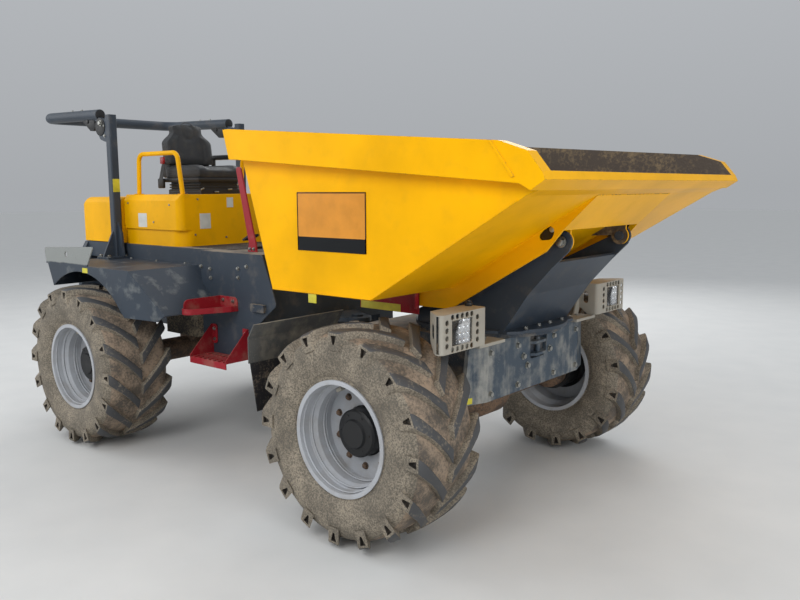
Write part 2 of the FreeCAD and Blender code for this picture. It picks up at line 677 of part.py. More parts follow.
def seat_backrest():
    low = SEAT_Z + CUSHION_T + FACE_GAP
    high = low + BACKREST_H
    side = prism_xz([(-345.0, low), (-225.0, low), (-290.0, high, 30.0), (-385.0, high, 30.0)], -235.0, 235.0)
    front = prism_yz([
        (-225.0, low), (225.0, low), (225.0, low + 120.0, 80.0), (150.0, high, 60.0),
        (-150.0, high, 60.0), (-225.0, low + 120.0, 80.0)], -500.0, 0.0)
    return side.common(front)


def console():
    """Dash on the deck, and the pedal beside it on its own stalk."""
    front = CONSOLE_X + CONSOLE_DEPTH
    body = prism_xz([
        (CONSOLE_X, DECK_Z), (front, DECK_Z), (front, CONSOLE_TOP_Z - 250.0, 80.0),
        (front - 135.0, CONSOLE_TOP_Z, 40.0),
        (CONSOLE_X - 20.0, CONSOLE_TOP_Z - 40.0, 30.0)], -CONSOLE_Y, CONSOLE_Y)
    half = PEDAL_W / 2.0
    foot = box(CONSOLE_X - 25.0, CONSOLE_X + 45.0, -PEDAL_Y - 35.0, -PEDAL_Y + 35.0, DECK_Z,
        DECK_Z + 2.0 * PEDAL_ROD_R)
    stalk = rod((CONSOLE_X + 20.0, -PEDAL_Y, DECK_Z + PEDAL_ROD_R + 3.0),
        (CONSOLE_X - 25.0, -PEDAL_Y, DECK_Z + 85.0),
                PEDAL_ROD_R)
    pad = prism_xz([
        (CONSOLE_X - 70.0, DECK_Z + 55.0), (CONSOLE_X, DECK_Z + 90.0), (CONSOLE_X - 6.0, DECK_Z + 102.0),
        (CONSOLE_X - 76.0, DECK_Z + 67.0)], -PEDAL_Y - half, -PEDAL_Y + half)
    return [body, fuse([foot, stalk, pad])]


def steering_wheel():
    centre = V(*WHEEL_CENTRE)
    axis = V(*WHEEL_TILT)
    ring = Part.makeTorus(WHEEL_R, 14.0, centre, axis)
    column = Part.makeCylinder(24.0, 260.0, centre - axis * 15.0, axis)
    turn = FreeCAD.Rotation(V(0, 0, 1), axis)
    spokes = []
    for i in range(3):
        spoke = Part.makeBox(WHEEL_R, 28.0, 8.0, V(0.0, -14.0, -4.0))
        spoke.rotate(V(0, 0, 0), V(0, 0, 1), 120.0 * i)
        spoke.Placement = FreeCAD.Placement(centre, turn).multiply(spoke.Placement)
        spokes.append(spoke)
    return fuse([ring, column] + spokes).cut(console()[0])


def handrails():
    x = RAIL_BASE_X
    outline = [
        (x - 45.0, DECK_Z), (x + 45.0, DECK_Z), (x + 38.0, DECK_Z + 55.0, 60.0), (x - 98.0, RAIL_TOP_Z, 20.0),
        (x - 146.0, RAIL_TOP_Z, 20.0), (x - 30.0, DECK_Z + 55.0, 60.0),
    ]
    return both_sides(prism_xz(outline, HANDRAIL_Y, HANDRAIL_Y + HANDRAIL_T))


def fender_skin(inset):
    """Outer form of the rear fender, or its hollow when set in from every outer face."""
    top = FENDER_TOP_Z - inset
    low = FENDER_TOP_Z - (320.0 if inset == 0.0 else 375.0)
    outline = [
        (-460.0 + inset, top), (625.0 - 0.4 * inset, top), (940.0 - 1.4 * inset, FENDER_TOP_Z - 275.0),
        (860.0, low),
        (-340.0, low), (-375.0 + inset, FENDER_TOP_Z - 195.0),
    ]
    inner_y = BODY_Y + FACE_GAP if inset == 0.0 else BODY_Y - 1.0
    skin = prism_xz(outline, inner_y, FENDER_Y - inset)
    # The front lower corner of the skirt is bent in along a slanting crease.
    knee_z, toe_z, high = FENDER_TOP_Z - 190.0, FENDER_TOP_Z - 325.0, FENDER_TOP_Z + 125.0
    crease = [V(625.0, FENDER_Y - inset, FENDER_TOP_Z), V(540.0, FENDER_Y - inset, knee_z),
              V(900.0, FENDER_Y - inset - 55.0, toe_z)]
    a, b, c = crease
    normal = (b - a).cross(c - a).normalize()
    if normal.y < 0:
        normal = normal * -1.0
    half_space = Part.makeBox(3000.0, 3000.0, 400.0, V(-1500.0, -1500.0, 0.0))
    half_space.Placement = FreeCAD.Placement(a, FreeCAD.Rotation(V(0, 0, 1), normal))
    ahead = prism_xz([
        (625.0, FENDER_TOP_Z), (540.0, knee_z), (470.0, toe_z - 50.0), (1200.0, toe_z - 50.0), (1200.0, high),
        (681.0, high)], FENDER_Y - 250.0, FENDER_Y + 150.0)
    return skin.cut(half_space.common(ahead))


def rear_fender():
    shell = fender_skin(0.0).cut(fender_skin(FENDER_T))
    arch = rod_y(0.0, TYRE_R, ARCH_R, BODY_Y - 1.0, FENDER_Y + 1.0)
    beside_panel = box(
        PANEL_X0 - FACE_GAP, PANEL_X0 + 255.0, BODY_Y - 1.0, PANEL_Y + FACE_GAP, FENDER_TOP_Z - 375.0,
        FENDER_TOP_Z + 25.0)
    shell = shell.cut(arch).cut(beside_panel)
    wing = prism_xz([
        (-480.0, FENDER_TOP_Z - 8.0), (-500.0, FENDER_TOP_Z + 110.0, 25.0),
        (200.0, FENDER_TOP_Z + 140.0, 12.0),
        (100.0, FENDER_TOP_Z - 1.0), (-400.0, FENDER_TOP_Z - 1.0)], FENDER_Y - WING_T, FENDER_Y)
    hole = rod_y(TIE_HOLE_X, TIE_HOLE_Z, TIE_HOLE_R, FENDER_Y - 20.0, FENDER_Y + 20.0)
    return fuse([shell, wing.cut(hole)])


def upper_step():
    """Low tray in the corner between side panel and fender, with tall back flanges."""
    y0, y1 = PANEL_Y + FACE_GAP, UPPER_STEP_Y
    x0, x1 = UPPER_STEP_X, UPPER_STEP_X + UPPER_STEP_L
    z = UPPER_STEP_Z
    t = STEP_T
    plan = [(x0, y0), (x1, y0), (x1, y0 + 55.0, 45.0), (x0 + 80.0, y1, 45.0), (x0, y1, 30.0)]
    inner = [
        (x0 + t, y0 + t), (x1 - t, y0 + t), (x1 - t, y0 + 52.0, 40.0), (x0 + 76.0, y1 - t, 40.0),
        (x0 + t, y1 - t, 25.0)]
    tray = prism_xy(plan, z, z + 38.0).cut(prism_xy(inner, z + t, z + 50.0))
    back = prism_xz([(x0, z), (x1, z), (x1, z + 92.0, 35.0), (x0, z + 92.0)], y0, y0 + t)
    rear = prism_yz([(y0, z), (y1 - 25.0, z), (y1 - 25.0, z + 92.0, 40.0), (y0, z + 92.0)], x0, x0 + t)
    return fuse([tray, back, rear])


def lower_step():
    """Tread with a front lip, hung from the side panel on two triangular cheeks."""
    y0, outer = PANEL_Y + FACE_GAP, LOWER_STEP_Y
    x0, x1 = LOWER_STEP_X, LOWER_STEP_X + LOWER_STEP_L
    z = LOWER_STEP_Z
    t = STEP_T
    tread = box(x0, x1, y0, outer, z - t, z)
    lip = box(x0, x1, outer - t, outer, z - 42.0, z)
    parts = [tread, lip]
    for i in range(int((LOWER_STEP_L - 30.0) / TOOTH_PITCH)):
        tooth_x = x0 + 32.0 + i * TOOTH_PITCH
        parts.append(box(tooth_x, tooth_x + 22.0, outer - 40.0, outer - 2.0, z, z + 6.0))
        parts.append(box(tooth_x, tooth_x + 22.0, y0 + 50.0, y0 + 88.0, z, z + 6.0))
    top = STEP_BACK_Z
    cheek = [(y0, z - t), (outer, z - t), (outer, z + 12.0, 8.0), (y0 + 12.0, top, 8.0), (y0, top)]
    for x in (x0, x1 - t):
        parts.append(prism_yz(cheek, x, x + t))
    for x, bend in ((x0, 20.0), (x1 - 55.0, 0.0)):
        flange = [(x, top - 133.0), (x + 55.0, top - 133.0, bend), (x + 55.0, top, bend), (x, top)]
        parts.append(prism_xz(flange, y0, y0 + t))
    return fuse(parts)


def front_frame():
    main = box(FRAME_BACK_X, FRAME_FRONT_X, -FRAME_Y, FRAME_Y, FRAME_Z0, FRAME_Z1)
    y = FRAME_Y - FRAME_WALL
    for x0, x1 in [(FRAME_BACK_X + 20.0, WHEELBASE - 90.0), (WHEELBASE + 90.0, FRAME_FRONT_X - 20.0)]:
        main = main.cut(box(x0, x1, -y, y, FRAME_Z0 - 1.0, FRAME_Z1 - FRAME_WALL))
    axle_notch = box(WHEELBASE - 95.0, WHEELBASE + 95.0, -FRAME_Y - 1.0, FRAME_Y + 1.0, FRAME_Z0 - 1.0,
        RAIL_Z0)
    main = main.cut(axle_notch)
    ring = rod_z(SLEW_X, 0.0, RING_R, FRAME_Z1, RING_TOP_Z)
    boss = rod_z(SLEW_X, 0.0, BOSS_R, RING_TOP_Z, RING_TOP_Z + BOSS_H)
    z0 = FORK_Z[0][1] + SIDE_GAP
    z1 = FORK_Z[1][0] - SIDE_GAP
    neck_y = FORK_R - 5.0
    neck_x = ARTIC_X + 200.0
    tongue = prism_xy([
        (ARTIC_X, -neck_y), (neck_x, -neck_y, 120.0), (FRAME_BACK_X, -230.0), (FRAME_BACK_X, 230.0),
        (neck_x, neck_y, 120.0), (ARTIC_X, neck_y)], z0 + 25.0, z1 - 25.0)
    eye = rod_z(ARTIC_X, 0.0, neck_y, z0, z1)
    bore = rod_z(ARTIC_X, 0.0, FORK_PIN_R + PIN_GAP, z0 - 20.0, z1 + 20.0)
    parts = [main, ring, boss, tongue.fuse(eye).cut(bore)]
    for z_low, z_high in STEER_LUGS:
        lug_plate = box(STEER_EYE_X - 60.0, FRAME_BACK_X, STEER_EYE_Y - 55.0, STEER_EYE_Y + 55.0, z_low,
            z_high)
        parts += both_sides(lug_plate)
    return fuse(parts)


def bumper():
    """Plate with bent-back ends and a towing jaw in its notch."""
    x0 = FRAME_FRONT_X + FACE_GAP
    x1 = x0 + BUMPER_T
    y, top_y, low, high = BUMPER_Y, BUMPER_TOP_Y, BUMPER_Z0, FRAME_Z1
    notch = high - 155.0
    outline = [
        (-y, low), (y, low), (top_y, high, 30.0), (125.0, high), (110.0, notch, 40.0),
        (-65.0, notch, 20.0), (-65.0, high, 15.0), (-top_y, high, 30.0),
    ]
    face = prism_yz(outline, x0 - BUMPER_SWEEP - 1.0, x1)
    bend, sweep, end = BUMPER_BEND_Y, BUMPER_SWEEP, BUMPER_Y + 1.0
    folded = prism_xy([
        (x1, -bend), (x1, bend), (x1 - sweep, end), (x0 - sweep, end), (x0, bend),
        (x0, -bend), (x0 - sweep, -end), (x1 - sweep, -end)], low - 1.0, high + 1.0)
    parts = [face.common(folded)]
    reach = x1 + 22.0
    for z in (notch + 15.0, notch + 85.0):
        jaw = prism_xy([(x0, -72.0), (reach, -40.0, 15.0), (reach, 80.0, 15.0), (x0, 118.0)], z, z + 16.0)
        parts.append(jaw)
    parts.append(rod_z(x1 - 4.0, 22.0, 14.0, notch + 5.0, notch + 120.0))
    return fuse(parts)


def front_fender():
    """Bent mudguard plate behind the tyre, with a rubber flap hung under it."""
    x, t, low, high = MUDGUARD_X, MUDGUARD_T, MUDGUARD_Z0, MUDGUARD_Z1
    plate = prism_xz([
        (x, low), (x + t, low), (x + t, high - 3.0), (x + 58.0, high + 78.0), (x + 53.0, high + 82.0),
        (x, high)], MUDGUARD_Y0, MUDGUARD_Y1)
    y0, y1 = MUDGUARD_Y0 + 80.0, MUDGUARD_Y1 - 10.0
    flap = prism_yz([(y0, low - 250.0), (y1 - 40.0, low - 280.0), (y1, low + 2.0), (y0, low + 2.0)],
                    x + 1.0, x + t - 1.0)
    arm = box(x, FRAME_BACK_X + 60.0, FRAME_Y + FACE_GAP, MUDGUARD_Y0 + 2.0, low + 10.0, low + 90.0)
    return fuse([plate, flap, arm])


def hexagon(y, z, x0, x1):
    corners = []
    for i in range(6):
        a = math.radians(60.0 * i + 30.0)
        corners.append((y + HEX_R * math.cos(a), z + HEX_R * math.sin(a)))
    return prism_yz(corners, x0, x1)


def headlight():
    """Lamp in a bent sheet guard: hexagonal holes round its window, a slot in its outer cheek."""
    t = GUARD_T
    zm = (GUARD_Z0 + GUARD_Z1) / 2.0
    front = GUARD_X1

    def sheet(inset, back):
        y0, y1, x = GUARD_Y0 + inset, GUARD_Y1 - inset, front - inset
        plan = [(back, y0), (x, y0, 25.0 - inset), (x, y1, 25.0 - inset), (back, y1 - GUARD_SLANT)]
        return prism_xy(plan, GUARD_Z0 + inset, GUARD_Z1 - inset)

    shell = sheet(0.0, GUARD_X0).cut(sheet(t, GUARD_X0 - 1.0))
    half = LAMP_H / 2.0
    holes = [box(front - 30.0, front + 1.0, LAMP_Y0 - 5.0, LAMP_Y1 + 5.0, zm - half, zm + half)]
    for i in range(4):
        z = zm - half + 5.0 + i * (LAMP_H - 10.0) / 3.0
        for y in (LAMP_Y0 - 50.0, LAMP_Y1 + 45.0):
            holes.append(hexagon(y, z, front - 60.0, front + 1.0))
    for i in range(int((LAMP_Y1 - LAMP_Y0) / HEX_PITCH) + 1):
        for z in (zm - half - 18.0, zm + half + 18.0):
            holes.append(hexagon(LAMP_Y0 + i * HEX_PITCH, z, front - 60.0, front + 1.0))
    x0, x1 = GUARD_X0 + 38.0, GUARD_X0 + 72.0
    slot = prism_xz([(x0, zm + 45.0, 15.0), (x0, zm - 20.0, 15.0), (x1, zm - 40.0, 15.0),
        (x1, zm + 45.0, 15.0)],
                    GUARD_Y0 - 20.0, GUARD_Y1 + 20.0)
    arch = rod_y(WHEELBASE, TYRE_R, TYRE_R + 16.0, GUARD_Y0 - 100.0, GUARD_Y1 + 100.0)
    lamp = box(front - 75.0, front - 14.0, LAMP_Y0, LAMP_Y1, GUARD_Z0 + t, zm + half - 4.0)
    z0 = FRAME_Z1 + FACE_GAP
    end_y = GUARD_Y0 + 23.0
    arm = box(GUARD_X0, front - 28.0, FRAME_Y - 30.0, end_y, z0, GUARD_Z0 - 6.0)
    riser = box(front - 73.0, front - 28.0, GUARD_Y0 + 1.0, end_y, z0, GUARD_Z0 + 4.0)
    gusset = prism_yz([
        (GUARD_Y0 - 75.0, z0), (GUARD_Y0 - 15.0, z0), (GUARD_Y0 + 60.0, GUARD_Z1 - t),
        (GUARD_Y0 + 15.0, GUARD_Z1 - t)], GUARD_X0, GUARD_X0 + 10.0)
    return fuse([shell.cut(fuse(holes)).cut(slot).cut(arch), lamp, arm, riser, gusset])


def swivel_frame():
    z = RING_TOP_Z + FACE_GAP
    disc = rod_z(SLEW_X, 0.0, SWIVEL_R, z, SWIVEL_TOP_Z)
    disc = disc.cut(rod_z(SLEW_X, 0.0, BOSS_R + PIN_GAP, z - 50.0, z + 100.0))
    foot_z = SWIVEL_TOP_Z - 5.0
    back, toe, knee_z = SWIVEL_BACK_X, SWIVEL_FRONT_X, foot_z + 215.0
    outline = [
        (back, foot_z), (toe, foot_z, 20.0), (toe + 150.0, knee_z, 80.0), (TIP_X + 50.0, TIP_Z - 35.0, 20.0),
        (TIP_X, TIP_Z + 20.0), (TIP_X - 55.0, TIP_Z, 20.0), (back, foot_z + 75.0, 30.0),
    ]
    plate = prism_xz(outline, SWIVEL_Y - SWIVEL_T, SWIVEL_Y)
    ear = rod_y(TIP_X, TIP_Z, EAR_R, SWIVEL_Y - SWIVEL_T, SWIVEL_Y)
    pin = rod_y(TIP_X, TIP_Z, TIP_PIN_R, SWIVEL_Y - 50.0, SWIVEL_Y + 10.0)
    front = prism_xz([
        (toe, foot_z), (toe + 15.0, foot_z), (toe + 165.0, knee_z, 80.0), (TIP_X - 30.0, TIP_Z - 110.0),
        (TIP_X - 45.0, TIP_Z - 100.0), (toe + 150.0, knee_z + 10.0, 80.0)], -SWIVEL_Y, SWIVEL_Y)
    lug_plate = prism_xz([
        (RAM_X - 50.0, foot_z), (RAM_X + 50.0, foot_z), (RAM_X + 36.0, RAM_Z + 36.0, 30.0),
        (RAM_X - 36.0, RAM_Z + 36.0, 30.0)], RAM_LUG_Y[0], RAM_LUG_Y[1])
    ram_pin = rod_y(RAM_X, RAM_Z, RAM_PIN_R, -RAM_LUG_Y[1] - 10.0, RAM_LUG_Y[1] + 10.0)
    y = SWIVEL_Y
    base = prism_xy([
        (toe - 100.0, -y), (toe + 40.0, -y), (toe + 95.0, -y + 60.0, 20.0), (toe + 95.0, y - 60.0, 20.0),
        (toe + 40.0, y), (toe - 100.0, y)], SWIVEL_TOP_Z - 16.0, SWIVEL_TOP_Z)
    sides = both_sides(plate) + both_sides(ear) + both_sides(pin) + both_sides(lug_plate)
    return fuse([disc, front, ram_pin, base] + sides)


def skip_lip():
    """Corners of the tub's spout, from under its lip round to its top."""
    return [
        (LIP_X - 68.0, RAKE_Z1 + 23.0), (LIP_X, RAKE_Z1 + 66.0), (LIP_X - 16.0, RAKE_Z1 + 100.0),
        (LIP_X - 85.0, RAKE_Z1 + 183.0), (LIP_X - 229.0, RAKE_Z1 + 229.0),
    ]


def skip():
    outline = [(BACK_TOP_X, BACK_TOP_Z), (FLOOR_X0, FLOOR_Z), (RAKE_X0, FLOOR_Z), (RAKE_X1, RAKE_Z1)]
    tub = prism_xz(outline + skip_lip(), -SKIP_Y, SKIP_Y)
    w = SKIP_WALL
    above = BACK_TOP_Z + 70.0
    inside = SKIP_Y - w
    mouth_z = RAKE_Z1 + 102.0
    hollow = prism_xz([
        (BACK_TOP_X + w, above), (FLOOR_X0 + w, FLOOR_Z + w), (RAKE_X0 - 3.0, FLOOR_Z + w),
        (RAKE_X1 - 4.0, RAKE_Z1 + 9.0), (LIP_X - 63.0, mouth_z), (LIP_X + 172.0, mouth_z),
        (LIP_X + 172.0, above)],
        -inside, inside)
    back, foot = BACK_TOP_X + 65.0, BAND_FOOT_Z
    band = prism_xz([(back - 45.0, BACK_TOP_Z), (back, foot),
        (RAKE_X1 + 4.0, RAKE_Z1 + 52.0, 40.0)] + skip_lip(),
                    SKIP_Y, BAND_Y)
    rear_band = prism_xz([
        (back - 100.0, BACK_TOP_Z), (back - 52.0, foot), (back, foot),
        (back - 45.0, BACK_TOP_Z)], -BAND_Y, BAND_Y)
    x, z = RAKE_X1, RAKE_Z1
    strip = prism_xz([(x - 145.0, z + 230.0), (x - 130.0, z + 230.0), (x - 15.0, z + 80.0),
        (x - 30.0, z + 76.0)],
                     BAND_Y, BAND_Y + 4.0)
    ear_y0 = SWIVEL_Y - 35.0
    ear_y1 = SWIVEL_Y - SWIVEL_T - SIDE_GAP
    ear = prism_xz([
        (TIP_X - 50.0, TIP_Z), (TIP_X + 35.0, TIP_Z + 15.0), (TIP_X + 35.0, TIP_Z + 126.0),
        (TIP_X - 190.0, TIP_Z - 7.0)], ear_y0, ear_y1)
    eye = rod_y(TIP_X, TIP_Z, EAR_R - 5.0, ear_y0, ear_y1)
    bore = rod_y(TIP_X, TIP_Z, TIP_PIN_R + PIN_GAP, 0.0, 600.0)
    ram_lug = prism_xz([
        (RAM_EYE_X - 44.0, FLOOR_Z + 2.0), (RAM_EYE_X - 30.0, RAM_EYE_Z - 25.0, 25.0),
        (RAM_EYE_X + 30.0, RAM_EYE_Z - 25.0, 25.0), (RAM_EYE_X + 60.0, FLOOR_Z + 2.0)],
        RAM_LUG_Y[0], RAM_LUG_Y[1])
    sides = both_sides(band) + both_sides(ear.fuse(eye).cut(bore)) + both_sides(ram_lug) + both_sides(strip)
    return fuse([tub, rear_band] + sides).cut(hollow)


def under_rake(x):
    """Height just below the skip's raked plate."""
    slope = (RAKE_Z1 - FLOOR_Z) / (RAKE_X1 - RAKE_X0)
    return FLOOR_Z - FACE_GAP * math.sqrt(1.0 + slope * slope) + (x - RAKE_X0) * slope


def skip_keel():
    """Two cheeks under the skip joined by the front plate, each with a tear-shaped hole."""
    x_top = RAKE_X1 - 4.0
    toe_x, toe_z = TIP_X + 52.0, TIP_Z + 62.0
    heel_x = RAKE_X0 - 280.0
    top_z = FLOOR_Z - FACE_GAP
    cheek = prism_xz([
        (heel_x, top_z), (heel_x, KEEL_Z, 15.0), (RAKE_X0 - 10.0, KEEL_Z, 200.0),
        (TIP_X - 40.0, TIP_Z - 47.0, 60.0),
        (toe_x, toe_z), (x_top, under_rake(x_top)), (RAKE_X0, under_rake(RAKE_X0))], KEEL_Y - KEEL_T, KEEL_Y)
    hole = prism_xz([
        (TIP_X - 110.0, TIP_Z + 5.0, 18.0), (TIP_X - 10.0, TIP_Z + 15.0, 32.0),
        (TIP_X + 25.0, TIP_Z + 95.0, 30.0),
        (TIP_X - 42.0, TIP_Z + 80.0, 20.0)], KEEL_Y - 40.0, KEEL_Y + 40.0)
    cheek = cheek.cut(hole)
    x_in = x_top - 20.0
    front = prism_xz([(toe_x, toe_z), (x_top, under_rake(x_top)), (x_in, under_rake(x_in)),
        (toe_x - 12.0, toe_z)],
                     -KEEL_Y, KEEL_Y)
    return fuse([front] + both_sides(cheek))


def ram_line(start, end):
    a, b = V(*start), V(*end)
    return a, (b - a).normalize(), (b - a).Length


def tip_ram():
    start, way, length = ram_line((RAM_X, 0.0, RAM_Z), (RAM_EYE_X, 0.0, RAM_EYE_Z))
    y = RAM_LUG_Y[0] - 10.0
    eye = rod_y(RAM_X, RAM_Z, 38.0, -y, y)
    end = length - RAM_ROD_SHOWN
    body = Part.makeCylinder(RAM_BODY_R, end - 30.0, start + way * 30.0, way)
    gland = Part.makeCylinder(RAM_BODY_R + 5.0, 40.0, start + way * (end - 40.0), way)
    bore = Part.makeCylinder(RAM_BORE_R + PIN_GAP, end, start + way * 80.0, way)
    pin_hole = rod_y(RAM_X, RAM_Z, RAM_PIN_R + PIN_GAP, -y - 10.0, y + 10.0)
    barrel = body.fuse([eye, gland]).cut(bore).cut(pin_hole)
    piston = Part.makeCylinder(RAM_BORE_R, length - 110.0, start + way * 90.0, way)
    end_eye = rod_y(RAM_EYE_X, RAM_EYE_Z, 32.0, -y, y)
    return barrel, fuse([piston, end_eye])


def steering_ram():
    start, way, length = ram_line((STEER_X, STEER_Y, STEER_Z), (STEER_EYE_X, STEER_EYE_Y, STEER_Z))
    eye = rod_z(STEER_X, STEER_Y, STEER_BODY_R, STEER_Z - 20.0, STEER_Z + 20.0)
    body = Part.makeCylinder(STEER_BODY_R, STEER_BODY_L, start + way * 25.0, way)
    bore = Part.makeCylinder(STEER_BORE_R + PIN_GAP, STEER_BODY_L, start + way * 45.0, way)
    pin_hole = rod_z(STEER_X, STEER_Y, STEER_PIN_R + PIN_GAP, STEER_Z - 90.0, STEER_Z + 90.0)
    barrel = body.fuse(eye).cut(bore).cut(pin_hole)
    piston = Part.makeCylinder(STEER_BORE_R, length - 290.0, start + way * 290.0, way)
    end_eye = rod_z(STEER_EYE_X, STEER_EYE_Y, 28.0, STEER_Z - 25.0, STEER_Z + 25.0)
    return barrel, fuse([piston, end_eye])


def main():
    os.makedirs("parts", exist_ok=True)
    for place, x, side in WHEELS:
        save("tyre_" + place, tyre(x, side))
        save("rim_" + place, rim(x, side))
        save("hub_" + place, hub(x, side))
    save("rear_axle", axle(0.0))
    save("front_axle", axle(WHEELBASE))
    save("rear_frame", rear_frame())
    save("tail_panel", tail_panel())
    save("engine_block", engine())
    save("deck", deck())
    save("bonnet", bonnet())
    save("seat_box", seat_box())
    save("hoop_rails", Part.makeCompound(hoops()))
    save("rops_posts", rops_posts())
    save("rops_top", rops_top())
    save("seat_base", seat_base())
    save("seat_cushion", seat_cushion())
    save("seat_backrest", seat_backrest())
    save("console", Part.makeCompound(console()))
    save("steering_wheel", steering_wheel())
    save("handrails", Part.makeCompound(handrails()))
    save("fuel_tank", mirrored(fuel_tank()))
    # Pieces that come in a left and a right hand, modelled as the left one.
    handed = {
        "rear_fender": rear_fender(),
        "steps": Part.makeCompound([upper_step(), lower_step()]),
        "front_fender": front_fender(),
        "headlight": headlight(),
    }
    for name, shape in handed.items():
        save(name + "_left", shape)
        save(name + "_right", mirrored(shape))
    save("front_frame", front_frame())
    save("bumper", bumper())
    save("swivel_frame", swivel_frame())
    save("skip", skip())
    save("skip_keel", skip_keel())
    barrel, piston = tip_ram()
    save("tip_ram_barrel", barrel)
    save("tip_ram_rod", piston)
    barrel, piston = steering_ram()
    for side, turn in (("left", lambda s: s), ("right", mirrored)):
        save("steering_barrel_" + side, turn(barrel))
        save("steering_rod_" + side, turn(piston))


main()
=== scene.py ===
import math

import bmesh
import bpy
from bpy.props import FloatProperty, FloatVectorProperty, IntProperty, PointerProperty
from bpy.types import Node, NodeSocket, Operator, Panel, PropertyGroup
from mathutils import Matrix, Vector


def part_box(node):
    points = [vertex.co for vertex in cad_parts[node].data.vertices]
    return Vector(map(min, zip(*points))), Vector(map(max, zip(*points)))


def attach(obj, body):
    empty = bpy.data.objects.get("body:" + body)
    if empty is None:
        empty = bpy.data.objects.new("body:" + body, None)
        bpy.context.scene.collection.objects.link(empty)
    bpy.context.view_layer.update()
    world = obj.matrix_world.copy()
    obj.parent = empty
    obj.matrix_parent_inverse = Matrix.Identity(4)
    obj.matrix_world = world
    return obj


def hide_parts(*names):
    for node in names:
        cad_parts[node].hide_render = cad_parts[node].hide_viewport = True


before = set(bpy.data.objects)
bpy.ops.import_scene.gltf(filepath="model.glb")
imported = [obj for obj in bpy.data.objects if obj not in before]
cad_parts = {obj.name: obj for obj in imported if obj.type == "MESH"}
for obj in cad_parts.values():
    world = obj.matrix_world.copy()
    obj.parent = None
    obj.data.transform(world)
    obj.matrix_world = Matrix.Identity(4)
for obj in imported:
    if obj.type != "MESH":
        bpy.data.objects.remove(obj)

bl_info = {
    "name": "Site dumper looks",
    "version": (1, 0, 0),
    "blender": (4, 5, 0),
    "location": "3D Viewport > Sidebar > Dumper",
    "description": "Dresses an articulated site dumper: tyres, seat, lamps, fasteners and finishes",
    "category": "Object",
}

# Pieces are modelled in millimetres from the rear axle, as the part is, and then
# brought to metres in the frame: X forwards, Y to the machine's left, Z up.
MM = 0.001


def middle(node):
    low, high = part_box(node)
    return (low + high) / 2


REAR_AXLE = middle("rear_axle")
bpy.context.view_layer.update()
PLACE = Matrix.Translation((REAR_AXLE.x, 0, 0)) @ Matrix.Scale(MM, 4)
SHIFT = REAR_AXLE.x / MM
WHEELBASE = (middle("front_axle").x - REAR_AXLE.x) / MM
AXLE_Z = REAR_AXLE.z / MM

# Corners of the wheels: the CAD name's ending and the sides along and across.
CORNERS = [("front_right", 1, -1), ("front_left", 1, 1), ("rear_right", 0, -1), ("rear_left", 0, 1)]
SIDES = [("right", -1), ("left", 1)]

# The bodies that most pieces ride on.
REAR, FRONT, SKIP = "rear_chassis", "front_chassis", "skip_body"


def by_member(groups):
    """Turns a table of lists round, to give each member the name of its list."""
    return {member: name for name, members in groups.items() for member in members.split()}


# The finishes in the part's record, each kept by its name.
FINISHES = {}


def linear(hex_colour):
    """Turns an sRGB hex value into the linear colour that sockets hold."""
    channels = [int(hex_colour[i:i + 2], 16) / 255 for i in (1, 3, 5)]
    return tuple(c / 12.92 if c <= 0.04045 else ((c + 0.055) / 1.055) ** 2.4 for c in channels) + (1.0,)


def paint_property(name, description, hex_colour):
    return FloatVectorProperty(name=name, description=description, subtype="COLOR", size=4,
                               min=0, max=1, default=linear(hex_colour))


def size_property(name, description, default, least, most):
    return FloatProperty(name=name, description=description + ", mm", default=default, min=least, max=most)


class DumperColours(PropertyGroup):
    yellow: paint_property("Yellow", "Enamel of the skip, bonnet and seat box", "#FDB900")
    slate: paint_property("Slate", "Enamel of the chassis, fenders and roll bar", "#3A434E")
    red: paint_property("Red", "Enamel of the steps and handrails", "#A0222E")
    rim: paint_property("Rim silver", "Enamel of the wheel rims", "#B4B7BC")
    dust: paint_property("Dust", "Dry dust on the chassis", "#A99C88")
    mud: paint_property("Mud", "Dried mud splashed on the rims", "#8E7F6C")
    rubber: paint_property("Rubber", "Tread rubber where it is worn clean", "#3E3F41")


class DumperSizes(PropertyGroup):
    dust_level: FloatProperty(name="Dust level", description="How much dust lies on the paint",
                              default=0.5, min=0, max=1, subtype="FACTOR")
    lug_count: IntProperty(name="Lugs a side", description="Bars of the tread on each side of a tyre",
                           default=16, min=10, max=30)
    lug_height: size_property("Lug height", "Height of a bar over the carcass", 38, 10, 60)
    bolt_size: size_property("Bolt size", "Width across flats of the common bolts", 19, 8, 36)
    weld_size: size_property("Weld size", "Radius of the weld beads", 4, 1, 10)
    cushion_rise: size_property("Cushion rise", "Most that padding may swell", 9, 0, 30)


# Finishes

def add_node(tree, kind, inputs=None, **settings):
    """Adds a node. An input takes a constant, a socket, or a node for its first live output."""
    made = tree.nodes.new("ShaderNode" + kind)
    for name, value in settings.items():
        setattr(made, name, value)
    for name, value in (inputs or {}).items():
        if isinstance(value, Node):
            value = next(output for output in value.outputs if output.enabled)
        if isinstance(value, NodeSocket):
            tree.links.new(value, made.inputs[name])
        else:
            made.inputs[name].default_value = value
    return made


def begin(name):
    """A blank material, its tree and the object's own coordinates and normal."""
    material = bpy.data.materials.new(name)
    material.use_nodes = True
    material.node_tree.nodes.clear()
    FINISHES[name] = material
    place = add_node(material.node_tree, "TexCoord")
    return material.node_tree, place.outputs["Object"], place.outputs["Normal"]


def close(tree, colour, roughness, height, depth, normal=None, **constants):
    """Ends a material in a bump, its depth in metres, and one Principled shader."""
    inputs = {"Strength": 1, "Distance": depth, "Height": height}
    if normal:
        inputs["Normal"] = normal
    bump = add_node(tree, "Bump", inputs)
    shader = add_node(tree, "BsdfPrincipled", {
        "Base Color": colour, "Roughness": roughness, "Normal": bump,
        **{name.replace("_", " "): value for name, value in constants.items()}})
    add_node(tree, "OutputMaterial", {"Surface": shader})


